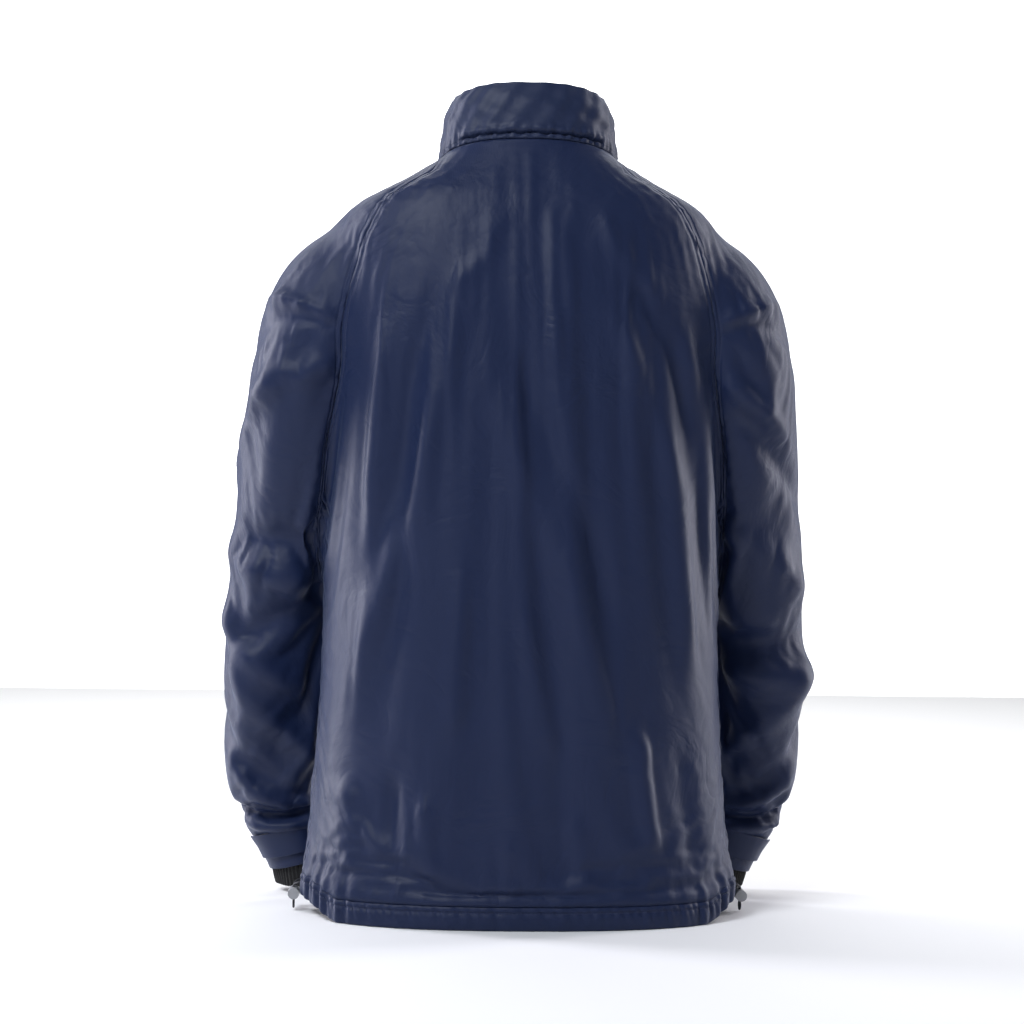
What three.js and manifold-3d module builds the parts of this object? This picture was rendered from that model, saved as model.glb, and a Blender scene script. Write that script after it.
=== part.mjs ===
// Foul weather jacket, standing as if worn: millimetres, +Z up, wearer faces +Y, wearer's right is +X.
// Everything is drawn with the hem on z = 0 and y = 0 through the arms' roots, then moved to the footprint's middle.
import * as THREE from 'three';
import { mergeVertices } from 'three/addons/utils/BufferGeometryUtils.js';
import Module from 'manifold-3d';

const wasm = await Module();
wasm.setup();

// ---------- driving sizes ----------
const neckHeight = 733;          // neck seam at the side of the neck
const neckHalfWidth = 87;
const neckBackDepth = 73;        // neck seam behind the middle line, at the back
const neckTilt = 16;             // the neck seam is this much higher behind and lower in front
const collarHeight = 66;
const collarHalfWidth = 81;
const collarTopRound = 5;        // the top edge turns in by this much more
const collarSideDrop = 7;        // the top edge falls this much from the middle to the sides
const collarBackDepth = 61;
const collarTopDrop = 5;         // the collar's top edge falls this much from back to front
const shoulderHalfWidth = 228;
const shoulderSlope = 29 * Math.PI / 180;
const waistHeight = 260;
const waistHalfWidth = 198;
const waistBackDepth = 118;
const chestHalfWidth = 195;
const chestBackDepth = 124;
const hemHalfWidth = 212;
const hemBackDepth = 126;
const hemLift = 16;              // the drawcord lifts the hem's side corners this much
const frontDepth = 132;          // straight front edge, at the hem
const frontLean = 0.045;         // and it leans back by this much for each millimetre of height
const roundness = 2.35;          // exponent of the body's oval section
const clothWall = 1.6;           // shell cloth with its seams, drawn thicker than the real 0.2
const seamGap = 0.4;             // between two pieces that are sewn together
const fitGap = 0.3;              // between a piece and the one it touches

const cuffHeight = 34;           // end of the sleeve's shell
const cuffSideReach = shoulderHalfWidth - 14;       // middle of the cuff from the middle line
const cuffForward = 130;
const cuffRadius = 37;
const knitLength = 26;           // knitted cuff that shows below the sleeve
const knitWall = 2.2;

const hemBand = 22;              // height of the hem channel
const hemChannelDepth = 6.8;
const hemChannelWall = 1.1;
const cordDiameter = 2.4;

const zipGapHalf = 7;            // half of the gap between the front panels
const teethHalf = 3;             // half width of the closed row of teeth
const teethThickness = 3;
const teethGroove = 0.7;         // half of the groove that the slider's post runs in
const tapeReach = 14;            // outer edge of the tape from the zip's middle
const tapeThickness = 0.7;
const tapeSet = 3.25;            // middle of the tape behind the cloth's outer face
const pullerLength = 26;
const flapHalf = 19;             // storm flap behind the zip

const pocketHeight = 255;        // middle of the pocket zip
const pocketReach = 108;         // and its distance from the middle line
const pocketLength = 150;
const pocketSlant = 9 * Math.PI / 180;
const pocketDepth = 108;         // how far the bag reaches to the front
const liningInset = 17;          // body lining inside the shell

const tabLength = 62;
const tabWidth = 30;
const lockRadius = 5.5;
const lockLength = 22;
const buttonTravel = 2.5;
const eyeletRadius = 4;

const shoulderHeight = neckHeight - (shoulderHalfWidth - neckHalfWidth) * Math.tan(shoulderSlope);
const shoulderEdge = 40;         // the sleeve's round top takes over this far in from the shoulder point
const shoulderEdgeHeight = shoulderHeight + shoulderEdge * Math.tan(shoulderSlope);
const armDrop = shoulderHeight - cuffHeight;
const sideSeam = 0;

// ---------- finishes ----------
const shellFinish = { color: 0x243156, roughness: 0.42, metalness: 0 };
const collarFinish = { color: 0x2a3558, roughness: 0.45, metalness: 0 };
const liningFinish = { color: 0x1b2233, roughness: 0.85, metalness: 0 };
const knitFinish = { color: 0x0b0c10, roughness: 0.95, metalness: 0 };
const tapeFinish = { color: 0x151b2e, roughness: 0.8, metalness: 0 };
const plasticFinish = { color: 0x10131c, roughness: 0.4, metalness: 0 };
const metalFinish = { color: 0xb9bcc4, roughness: 0.3, metalness: 1 };
const labelFinish = { color: 0xe6e7ea, roughness: 0.7, metalness: 0 };

const jacket = new THREE.Group();

// ---------- solids ----------
function signedVolume(points, triangles) {
  let sum = 0;
  const [a, b, c] = [new THREE.Vector3(), new THREE.Vector3(), new THREE.Vector3()];
  for (let i = 0; i < triangles.length; i += 3) {
    a.fromArray(points, triangles[i] * 3);
    b.fromArray(points, triangles[i + 1] * 3);
    c.fromArray(points, triangles[i + 2] * 3);
    sum += a.dot(b.cross(c));
  }
  return sum;
}

function toSolid(geometry) {
  const bare = geometry.clone();
  bare.deleteAttribute('normal');
  bare.deleteAttribute('uv');
  const merged = mergeVertices(bare, 1e-4);
  const vertProperties = new Float32Array(merged.attributes.position.array);
  const triVerts = new Uint32Array(merged.index.array);
  if (signedVolume(vertProperties, triVerts) < 0) {
    triVerts.reverse();
  }
  return new wasm.Manifold(new wasm.Mesh({ numProp: 3, vertProperties, triVerts }));
}

function toGeometry(solid) {
  const mesh = solid.getMesh();
  const geometry = new THREE.BufferGeometry();
  geometry.setAttribute('position', new THREE.BufferAttribute(mesh.vertProperties, 3));
  geometry.setIndex(new THREE.BufferAttribute(mesh.triVerts, 1));
  geometry.computeVertexNormals();
  return geometry;
}

function addPiece(name, shape, finish, parent = jacket) {
  const geometry = shape.isBufferGeometry ? shape : toGeometry(shape);
  const mesh = new THREE.Mesh(geometry, new THREE.MeshStandardMaterial(finish));
  mesh.name = name;
  parent.add(mesh);
  return mesh;
}

// Closed body through a list of rings, with a fan over each end.
function loftSolid(rings) {
  const count = rings[0].length;
  const points = rings.flat();
  const triangles = [];
  for (let row = 0; row + 1 < rings.length; row += 1) {
    for (let i = 0; i < count; i += 1) {
      const next = (i + 1) % count;
      const [a, b] = [row * count + i, row * count + next];
      triangles.push(a, b, b + count, a, b + count, a + count);
    }
  }
  [[0, 1], [rings.length - 1, -1]].forEach(([row, turn]) => {
    const middle = new THREE.Vector3();
    rings[row].forEach((point) => middle.addScaledVector(point, 1 / count));
    points.push(middle);
    for (let i = 0; i < count; i += 1) {
      const [a, b] = [row * count + i, row * count + (i + 1) % count];
      triangles.push(points.length - 1, turn > 0 ? b : a, turn > 0 ? a : b);
    }
  });
  return arraysToSolid(points, triangles);
}

function arraysToSolid(points, triangles) {
  const geometry = new THREE.BufferGeometry();
  geometry.setAttribute('position', new THREE.Float32BufferAttribute(points.flatMap((p) => [p.x, p.y, p.z]), 3));
  geometry.setIndex(triangles);
  return toSolid(geometry);
}

// Closed sheet between an outer and an inner grid of points. A closed sheet joins its last column to its first.
function sheetSolid(outer, inner, closed = false) {
  const rows = outer.length;
  const columns = outer[0].length;
  const points = [...outer.flat(), ...inner.flat()];
  const half = rows * columns;
  const triangles = [];
  const quad = (a, b, c, d) => triangles.push(a, b, c, a, c, d);
  const steps = closed ? columns : columns - 1;
  for (let row = 0; row + 1 < rows; row += 1) {
    for (let i = 0; i < steps; i += 1) {
      const next = (i + 1) % columns;
      const [a, b] = [row * columns + i, row * columns + next];
      quad(a, b, b + columns, a + columns);
      quad(half + b, half + a, half + a + columns, half + b + columns);
    }
  }
  for (let i = 0; i < steps; i += 1) {
    const next = (i + 1) % columns;
    const top = (rows - 1) * columns;
    quad(next, i, half + i, half + next);
    quad(top + i, top + next, half + top + next, half + top + i);
  }
  if (!closed) {
    for (let row = 0; row + 1 < rows; row += 1) {
      const [a, b] = [row * columns, row * columns + columns - 1];
      quad(a, a + columns, half + a + columns, half + a);
      quad(b + columns, b, half + b, half + b + columns);
    }
  }
  return arraysToSolid(points, triangles);
}

function boxSolid(low, high) {
  const size = high.map((value, i) => value - low[i]);
  const geometry = new THREE.BoxGeometry(...size);
  geometry.translate(...low.map((value, i) => value + size[i] / 2));
  return toSolid(geometry);
}

function rodSolid(radius, from, to, sides = 12) {
  const start = new THREE.Vector3(...from);
  const along = new THREE.Vector3(...to).sub(start);
  const geometry = new THREE.CylinderGeometry(radius, radius, along.length(), sides);
  geometry.translate(0, along.length() / 2, 0);
  geometry.applyQuaternion(new THREE.Quaternion().setFromUnitVectors(new THREE.Vector3(0, 1, 0), along.normalize()));
  geometry.translate(...from);
  return toSolid(geometry);
}

// Flat outline in x and z, given a thickness along y.
function plateSolid(outline, yLow, yHigh) {
  const shape = new THREE.Shape(outline.map(([x, z]) => new THREE.Vector2(x, z)));
  const geometry = new THREE.ExtrudeGeometry(shape, { depth: yHigh - yLow, bevelEnabled: false });
  geometry.rotateX(Math.PI / 2);
  geometry.translate(0, yHigh, 0);
  return toSolid(geometry);
}

// Round cord along a smooth curve, or along straight runs from point to point.
function cordSolid(points, diameter, steps, sides = 8, straight = false) {
  const circle = new THREE.Shape();
  circle.absarc(0, 0, diameter / 2, 0, Math.PI * 2);
  const places = points.map((point) => new THREE.Vector3(...point));
  const path = straight
    ? new THREE.CatmullRomCurve3(places, false, 'catmullrom', 0)
    : new THREE.CatmullRomCurve3(places);
  const options = { steps, curveSegments: sides / 2, extrudePath: path };
  return new THREE.ExtrudeGeometry(circle, options);
}

const placed = (solid, group) => solid.transform(group.matrixWorld.elements);
const joinAll = (solids) => solids.reduce((sum, solid) => sum.add(solid));
const mirrored = (point, side) => new THREE.Vector3(point.x * side, point.y, point.z);
const spread = (from, to, count) => Array.from({ length: count + 1 }, (_, i) => from + (to - from) * i / count);

// ---------- the body's surface ----------
// Stations from the hem to the neck: height, half width, depth behind the middle line.
const bodyStations = [
  [hemBand + seamGap, hemHalfWidth, hemBackDepth],
  [waistHeight * 0.45, (hemHalfWidth + waistHalfWidth) / 2, (hemBackDepth + waistBackDepth) / 2],
  [waistHeight, waistHalfWidth, waistBackDepth],
  [shoulderHeight - 155, chestHalfWidth, chestBackDepth],
  [shoulderHeight - 75, chestHalfWidth + 6, chestBackDepth + 3],
  [shoulderHeight - 25, chestHalfWidth + 3, chestBackDepth - 2],
  [shoulderEdgeHeight, shoulderHalfWidth - shoulderEdge, chestBackDepth - 13],
  [(shoulderEdgeHeight + neckHeight) / 2, (shoulderHalfWidth - shoulderEdge + neckHalfWidth) / 2, neckBackDepth + 20],
  [neckHeight, neckHalfWidth, neckBackDepth],
];
const bodyCurve = new THREE.CatmullRomCurve3(
  bodyStations.map(([z, x, y]) => new THREE.Vector3(x, y, z)), false, 'centripetal');

const smooth = (low, high, value) => THREE.MathUtils.smoothstep(value, low, high);
const frontAt = (z) => frontDepth - frontLean * z;

// Oval section: angle 0 is the wearer's right side, -90 degrees the middle of the back.
function ovalPoint(halfWidth, backDepth, angle, z) {
  const power = 2 / roundness;
  const [c, s] = [Math.cos(angle), Math.sin(angle)];
  const depth = s > 0 ? frontAt(z) : backDepth;
  return new THREE.Vector3(
    halfWidth * Math.sign(c) * Math.abs(c) ** power, depth * Math.sign(s) * Math.abs(s) ** power, z);
}

const sideLift = (angle) => hemLift * smooth(0.8, 1, Math.abs(Math.cos(angle)));

function bodyPoint(v, angle) {
  const station = bodyCurve.getPoint(THREE.MathUtils.clamp(v, 0, 1));
  const lift = sideLift(angle) * (1 - smooth(hemBand, hemBand + 120, station.z));
  const tilt = -neckTilt * Math.sin(angle) * smooth(shoulderHeight - 60, neckHeight, station.z);
  return ovalPoint(station.x, station.y, angle, station.z + lift + tilt);
}

// The collar carries on from the neck seam: w runs from 0 at the seam to 1 at the top edge.
function collarPoint(w, angle) {
  const foot = neckHeight - neckTilt * Math.sin(angle) + seamGap;
  const sideFall = collarSideDrop * Math.abs(Math.cos(angle)) ** 3;
  const top = neckHeight + collarHeight - collarTopDrop * Math.sin(angle) - sideFall;
  const turnIn = collarTopRound * Math.max(0, (w - 0.6) / 0.4) ** 2;
  const halfWidth = neckHalfWidth + (collarHalfWidth - neckHalfWidth) * w - turnIn;
  return ovalPoint(halfWidth, neckBackDepth + (collarBackDepth - neckBackDepth) * w, angle, foot + (top - foot) * w);
}

// The hem channel's outer face: height is measured from its lower edge.
function hemPoint(height, angle) {
  return ovalPoint(hemHalfWidth, hemBackDepth, angle, height + sideLift(angle));
}

function pushed(surface, row, angle, distance) {
  const step = 1e-3;
  const point = surface(row, angle);
  const lowRow = Math.max(0, row - step);
  const highRow = lowRow + 2 * step > 1 && surface !== hemPoint ? 1 : lowRow + 2 * step;
  const up = surface(highRow, angle).sub(surface(highRow - 2 * step, angle));
  const around = surface(row, angle + step).sub(surface(row, angle - step));
  return point.addScaledVector(around.cross(up).normalize(), distance);
}

const radians = (degrees) => degrees * Math.PI / 180;
const frontAngles = [0, 13, 26, 39, 52, 65, 77, 86.2];
const quarter = [...frontAngles, 90];
const ringAngles = [
  ...quarter,
  ...[...frontAngles].reverse().map((a) => 180 - a),
  ...frontAngles.slice(1).map((a) => 180 + a),
  270,
  ...[...frontAngles].reverse().slice(0, -1).map((a) => 360 - a),
].map(radians);
const stationCount = bodyStations.length - 1;
const bodyRows = [0, 1, 2, 3, 4, 4.5, 5, 5.5, 6, 6.5, 7, 7.5, 8].map((row) => row / stationCount);
const plainRows = [0, 2, 3, 4, 5, 6, 8].map((row) => row / stationCount);
const plainAngles = spread(0, 2 * Math.PI, 16).slice(0, -1);

function bodyRings(inset, overrun, rows = bodyRows, angles = ringAngles) {
  const rings = rows.map((v) => angles.map((angle) => pushed(bodyPoint, v, angle, -inset)));
  if (overrun > 0) {
    rings.unshift(rings[0].map((p) => p.clone().setZ(p.z - overrun)));
    rings.push(rings.at(-1).map((p) => p.clone().setZ(p.z + overrun)));
  }
  return rings;
}

// ---------- the sleeve's surface ----------
// Stations from inside the shoulder to the cuff: x, y, z, half width across, half depth.
const armAt = (share) => shoulderHeight - armDrop * share;
const sleeveStations = [
  [shoulderHalfWidth - 123, 8, shoulderHeight - 15, 60, 66],
  [shoulderHalfWidth - 63, 8, shoulderHeight - 55, 78, 78],
  [shoulderHalfWidth - 41, 9, shoulderHeight - 78, 77, 78],
  [shoulderHalfWidth - 23, 12, shoulderHeight - 105, 68, 74],
  [shoulderHalfWidth + 1, 32, armAt(0.29), 53, 62],
  [shoulderHalfWidth + 12, 56, armAt(0.41), 50, 55],
  [shoulderHalfWidth + 18, 78, armAt(0.572), 52, 54],
  [shoulderHalfWidth + 19, 100, armAt(0.733), 54, 52],
  [shoulderHalfWidth + 13, 118, cuffHeight + 86, 50, 46],
  [cuffSideReach + 20, cuffForward - 6, cuffHeight + 56, 46, 42],
  [cuffSideReach + 8, cuffForward - 2, cuffHeight + 26, cuffRadius + 3, cuffRadius + 1],
  [cuffSideReach, cuffForward, cuffHeight, cuffRadius, cuffRadius - 1],
];
const sleevePath = new THREE.CatmullRomCurve3(
  sleeveStations.map(([x, y, z]) => new THREE.Vector3(x, y, z)), false, 'centripetal');
const sleeveSizes = new THREE.CatmullRomCurve3(
  sleeveStations.map(([x, y, z, across, depth]) => new THREE.Vector3(across, depth, z)), false, 'centripetal');

// Angle 0 is the sleeve's outer side, -90 degrees its back. t runs from the shoulder to the cuff.
function sleevePoint(t, angle, inset, side) {
  const tangent = sleevePath.getTangent(t);
  const outward = new THREE.Vector3(0, 1, 0).cross(tangent).normalize();
  if (outward.x < 0) {
    outward.negate();
  }
  const forward = tangent.clone().cross(outward).normalize();
  if (forward.y < 0) {
    forward.negate();
  }
  const size = sleeveSizes.getPoint(t);
  const point = sleevePath.getPoint(t);
  point.addScaledVector(outward, (size.x - inset) * Math.cos(angle));
  point.addScaledVector(forward, (size.y - inset) * Math.sin(angle));
  return mirrored(point, side);
}

const sleeveAngles = spread(0, 2 * Math.PI, 14).slice(0, -1);
const sleeveRows = spread(0, 1, 13);

function sleeveRings(inset, side, overrun) {
  const rings = sleeveRows.map((t) => sleeveAngles.map((angle) => sleevePoint(t, angle, inset, side)));
  if (overrun > 0) {
    const beyond = mirrored(sleevePath.getTangent(1), side).multiplyScalar(overrun);
    rings.push(rings.at(-1).map((p) => p.clone().add(beyond)));
  }
  return rings;
}

// Part of the sleeve's surface as a sheet, between two distances outside it.
function sleevePatch(side, ts, angles, low, high, closed = false) {
  const grid = (distance) => ts.map((t) => angles.map((angle) => sleevePoint(t, angle, -distance, side)));
  return sheetSolid(grid(high), grid(low), closed);
}

function bodyPatch(surface, rows, angles, low, high, closed = false) {
  const grid = (distance) => rows.map((row) => angles.map((angle) => pushed(
    surface, row, angle, typeof distance === 'function' ? distance(row, angle) : distance)));
  return sheetSolid(grid(high), grid(low), closed);
}

// ---------- shell cloth: back, fronts and raglan sleeves ----------
const outerBody = joinAll([
  loftSolid(bodyRings(0, 0)),
  loftSolid(sleeveRings(0, 1, 0)),
  loftSolid(sleeveRings(0, -1, 0)),
]);
const innerBody = joinAll([
  loftSolid(bodyRings(clothWall, 8)),
  loftSolid(sleeveRings(clothWall, 1, 8)),
  loftSolid(sleeveRings(clothWall, -1, 8)),
]);
const shell = outerBody.subtract(innerBody);
const farAway = 2 * (shoulderHalfWidth + neckHeight);

// Raglan seam, seen from behind: from the neck seam down to the top of the armpit.
function raglanOutline(grow) {
  return [
    [neckHalfWidth - 7, neckHeight + 60],
    [neckHalfWidth - 7, neckHeight + 10],
    [neckHalfWidth + 10, neckHeight - 12],
    [neckHalfWidth + 43, neckHeight - 32],
    [neckHalfWidth + 0.426 * (shoulderHalfWidth - neckHalfWidth), shoulderHeight + 30],
    [neckHalfWidth + 0.539 * (shoulderHalfWidth - neckHalfWidth), shoulderHeight + 5],
    [chestHalfWidth - 17, shoulderHeight - 49],
    [chestHalfWidth - 8, shoulderHeight - 88],
    [chestHalfWidth - 5, shoulderHeight - 115],
  ].map(([x, z]) => [x - grow, z]);
}

function sleeveRegion(side, grow) {
  const edge = raglanOutline(grow);
  const outline = [...edge, [farAway, edge.at(-1)[1]], [farAway, edge[0][1]]];
  const shoulder = plateSolid(outline.map(([x, z]) => [x * side, z]), -farAway, farAway);
  const tube = loftSolid(sleeveRings(-1 - grow, side, 8));
  const armStart = chestHalfWidth - 27 - grow;
  const outerHalf = boxSolid([side > 0 ? armStart : -farAway, -farAway, -farAway],
    [side > 0 ? farAway : -armStart, farAway, farAway]);
  return shoulder.add(tube.intersect(outerHalf));
}

const sides = [['right', 1], ['left', -1]];
const torso = sides.reduce((rest, [, side]) => rest.subtract(sleeveRegion(side, seamGap)), shell);
const behind = boxSolid([-farAway, -farAway, -farAway], [farAway, sideSeam - seamGap / 2, farAway]);
const beforeSeam = boxSolid([-farAway, sideSeam + seamGap / 2, -farAway], [farAway, farAway, farAway]);
const xRange = (low, high) => boxSolid([low, -farAway, -farAway], [high, farAway, farAway]);
const besideZip = (side, reach) => (side > 0 ? xRange(reach, farAway) : xRange(-farAway, -reach));

addPiece('back_panel', torso.intersect(behind), shellFinish);

// ---------- zips ----------
// A zip's own frame: x across, y out of the cloth, z up along the teeth; y = 0 is the middle of the tape.
function zipSlider() {
  const [wing, flange] = [teethHalf + 1.4, teethHalf + 0.4];
  const face = teethThickness / 2 + fitGap;
  const outline = [[-wing, -3], [-3, -5], [3, -5], [wing, -3], [wing, 3.5], [2.5, 6], [-2.5, 6], [-wing, 3.5]];
  const parts = [
    plateSolid(outline, face, face + 1.2),
    plateSolid(outline, -face - 1.2, -face),
    boxSolid([-teethGroove + fitGap, -face - 0.1, 3], [teethGroove - fitGap, face + 0.1, 5.8]),
  ];
  [[1, 1], [1, -1], [-1, 1], [-1, -1]].forEach(([x, y]) => {
    const near = tapeThickness / 2 + fitGap;
    parts.push(boxSolid(
      [Math.min(x * flange, x * wing), Math.min(y * near, y * (face + 0.1)), -3],
      [Math.max(x * flange, x * wing), Math.max(y * near, y * (face + 0.1)), 3.4]));
  });
  const bail = boxSolid([-0.7, face + 1.1, -2.8], [0.7, face + 4.7, 2.8])
    .subtract(boxSolid([-1, face + 1.4, -1.5], [1, face + 3.5, 1.5]));
  return joinAll([...parts, bail]);
}

const bailHeight = teethThickness / 2 + fitGap + 2.45;

// The puller hangs from the hinge line, which is its own x axis.
function zipPuller() {
  const [half, tip] = [2.7, 3.4];
  const outline = [[-half, -0.3], [half, -0.3], [half, -6], [tip, -10], [tip, -pullerLength + 2],
    [tip - 1.6, -pullerLength], [1.6 - tip, -pullerLength], [-tip, -pullerLength + 2], [-tip, -10], [-half, -6]];
  const eye = boxSolid([-1.15, -1, -4.6], [1.15, 1, -0.4]);
  const grip = boxSolid([-1.8, -1, -22], [1.8, 1, -13]);
  return plateSolid(outline, -0.6, 0.6).subtract(eye).subtract(grip)
    .add(rodSolid(0.6, [-half, 0, 0], [half, 0, 0], 8));
}

function addSliderAndPuller(prefix, group, z) {
  const slider = addPiece(`${prefix}_slider`, zipSlider(), metalFinish, group);
  slider.position.set(0, 0, z);
  const puller = addPiece(`${prefix}_puller`, zipPuller(), metalFinish, group);
  puller.position.set(0, bailHeight, z);
}

// Main zip, straight up the front edge and the collar.
const mainZip = new THREE.Group();
const zipLean = Math.atan(frontLean);
mainZip.rotation.x = zipLean;
mainZip.position.set(0, frontDepth - tapeSet / Math.cos(zipLean), 0);
jacket.add(mainZip);
mainZip.updateMatrixWorld(true);
const zipFoot = 4;
const boxHeight = 10;
const zipTop = neckHeight + collarHeight - collarTopDrop - 16;

sides.forEach(([name, side]) => {
  const span = (low, high) => [Math.min(low * side, high * side), Math.max(low * side, high * side)];
  const [tapeLow, tapeHigh] = span(teethHalf + fitGap, tapeReach);
  addPiece(`main_zip_tape_${name}`,
    boxSolid([tapeLow, -tapeThickness / 2, zipFoot + boxHeight + fitGap], [tapeHigh, tapeThickness / 2, zipTop]),
    tapeFinish, mainZip);
  const [low, high] = span(teethGroove, teethHalf);
  addPiece(`main_zip_teeth_${name}`,
    boxSolid([low, -teethThickness / 2, zipFoot + boxHeight + fitGap], [high, teethThickness / 2, zipTop]),
    plasticFinish, mainZip);
});
addPiece('main_zip_box', boxSolid([-5, -2.1, zipFoot], [5, 2.1, zipFoot + boxHeight]), plasticFinish, mainZip);
addSliderAndPuller('main_zip', mainZip, zipTop - 8);
addPiece('storm_flap', boxSolid([-flapHalf, -6.6, zipFoot + 6], [flapHalf, -5.4, zipTop - 26]), shellFinish, mainZip);
const guardHalf = zipGapHalf - 0.6;
addPiece('chin_guard',
  boxSolid([-guardHalf, -6, zipTop + fitGap], [guardHalf, 2.4, zipTop + 14])
    .subtract(boxSolid([-guardHalf - 1, -3, zipTop - 1], [guardHalf + 1, 0.6, zipTop + 9])),
  collarFinish, mainZip);

// Hand pockets: each zip lies in a slot of its front panel, on the panel's own slope.
const pocketV = spread(0, 1, 400).reduce((best, v) => (
  Math.abs(bodyCurve.getPoint(v).z - pocketHeight) < Math.abs(bodyCurve.getPoint(best).z - pocketHeight)
    ? v : best), 0);

function pocketAngleAt(reach) {
  const share = reach / bodyCurve.getPoint(pocketV).x;
  return Math.acos(share ** (roundness / 2));
}

function pocketFrame(side) {
  const angle = pocketAngleAt(pocketReach);
  const middle = bodyPoint(pocketV, angle);
  const normal = pushed(bodyPoint, pocketV, angle, 1).sub(middle);
  const up = new THREE.Vector3(-Math.sin(pocketSlant), 0, Math.cos(pocketSlant));
  up.addScaledVector(normal, -up.dot(normal)).normalize();
  const across = new THREE.Vector3().crossVectors(normal, up);
  const middleSet = tapeSet + 1.6;
  const origin = middle.addScaledVector(normal, -middleSet);
  const group = new THREE.Group();
  const basis = side > 0
    ? new THREE.Matrix4().makeBasis(across, normal, up)
    : new THREE.Matrix4().makeBasis(
      new THREE.Vector3(across.x, -across.y, -across.z), mirrored(normal, -1), mirrored(up, -1));
  group.quaternion.setFromRotationMatrix(basis);
  group.position.copy(mirrored(origin, side));
  group.updateMatrixWorld(true);
  return group;
}


const slotHalf = 6.5;

sides.forEach(([name, side]) => {
  const pocket = pocketFrame(side);
  jacket.add(pocket);
  const half = pocketLength / 2;
  const slot = placed(boxSolid([-slotHalf, -3, -half - 3], [slotHalf, 12, half + 3]), pocket);
  const panel = torso.intersect(beforeSeam).intersect(besideZip(side, zipGapHalf)).subtract(slot);
  addPiece(`front_panel_${name}`, panel, shellFinish);
  addPiece(`sleeve_${name}`, shell.intersect(sleeveRegion(side, 0)), shellFinish);

  const tape = boxSolid([-12, -tapeThickness / 2, -half - 6], [12, tapeThickness / 2, half + 6])
    .subtract(boxSolid([-teethHalf - fitGap, -2, -half - fitGap], [teethHalf + fitGap, 2, half + fitGap]));
  addPiece(`pocket_zip_tape_${name}`, tape, tapeFinish, pocket);
  const teeth = boxSolid([-teethHalf, -teethThickness / 2, -half], [teethHalf, teethThickness / 2, half])
    .subtract(boxSolid([-teethGroove, -2, -half + 3], [teethGroove, 2, half + 1]));
  addPiece(`pocket_zip_teeth_${name}`, teeth, plasticFinish, pocket);
  addSliderAndPuller(`pocket_zip_${name}`, pocket, half - 8);

  // The bag hangs behind its zip, an open pouch between the shell and the lining.
  const bagAngles = spread(pocketAngleAt(pocketReach + 26), pocketAngleAt(pocketReach + 26 - pocketDepth), 5);
  const bagAnglesSide = side > 0 ? bagAngles : bagAngles.map((a) => Math.PI - a);
  const rowAt = (z) => spread(0, 1, 400).find((v) => bodyCurve.getPoint(v).z >= z);
  const bagRows = spread(rowAt(pocketHeight - half - 30), rowAt(pocketHeight + half + 12), 4);
  const [face, depth] = [9.4, 4.6];
  const pouch = bodyPatch(bodyPoint, bagRows, bagAnglesSide, -face - depth, -face);
  const insideRows = spread(bagRows[0] + 0.006, bagRows.at(-1) - 0.006, 4);
  const turn = Math.sign(bagAnglesSide.at(-1) - bagAnglesSide[0]) * 0.02;
  const insideAngles = spread(bagAnglesSide[0] + turn, bagAnglesSide.at(-1) - turn, 5);
  const hollow = bodyPatch(bodyPoint, insideRows, insideAngles, -face - depth + 0.8, -face - 0.8);
  const mouth = placed(boxSolid([-4, -9, -half + 4], [4, 0, half - 4]), pocket);
  addPiece(`pocket_bag_${name}`, pouch.subtract(hollow).subtract(mouth), liningFinish);
});

// ---------- collar with the hood packed inside ----------
const collarRows = [0, 0.6, 0.8, 1];
const collarAngles = ringAngles;
const slitReach = radians(52);
const slitLow = 0.1;
const slitHigh = 0.15;
const frontCut = xRange(-zipGapHalf, zipGapHalf).intersect(beforeSeam);
const slitRing = spread(-Math.PI / 2 - slitReach, -Math.PI / 2 + slitReach, 10);
const slitCutter = bodyPatch(collarPoint, [slitLow, slitHigh], slitRing, -clothWall - 1, 1);
addPiece('collar_shell',
  bodyPatch(collarPoint, collarRows, collarAngles, -clothWall, 0, true).subtract(frontCut).subtract(slitCutter),
  collarFinish);

const hoodRoom = (angle) => 15 * smooth(-0.25, 0.35, -Math.sin(angle));
const facingInset = (w, angle) => -(3 + 4 * Math.sin(Math.PI * w) + hoodRoom(angle) * Math.sin(Math.PI * w) ** 0.5);
const facingRows = [0.02, 0.15, 0.5, 0.85, 0.98];
const facingCut = xRange(-flapHalf - 1.5, flapHalf + 1.5).intersect(beforeSeam);
addPiece('collar_facing',
  bodyPatch(collarPoint, facingRows, collarAngles, (w, a) => facingInset(w, a) - 1, facingInset, true)
    .subtract(facingCut),
  liningFinish);

const backAngles = (reach) => ringAngles.filter((a) => Math.abs(a - 1.5 * Math.PI) < radians(reach));
const hoodAngles = backAngles(66);
const hoodRows = [0.22, 0.5, 0.8];
addPiece('stowed_hood',
  bodyPatch(collarPoint, hoodRows, hoodAngles, (w, a) => facingInset(w, a) + 2.2, -clothWall - 0.8),
  shellFinish);

// Hook tape on the lower lip of the slit and loop tape inside the upper one.
const tapeAngles = spread(-Math.PI / 2 - slitReach + 0.08, -Math.PI / 2 + slitReach - 0.08, 14);
addPiece('hood_slit_loop_tape',
  bodyPatch(collarPoint, [slitHigh + 0.01, slitHigh + 0.035], tapeAngles, -clothWall - 1.9, -clothWall - 1),
  tapeFinish);
addPiece('hood_slit_hook_tape',
  bodyPatch(collarPoint, [slitLow - 0.06, slitLow - 0.01], tapeAngles, -clothWall - 1.9, -clothWall - 1),
  tapeFinish);

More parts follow.
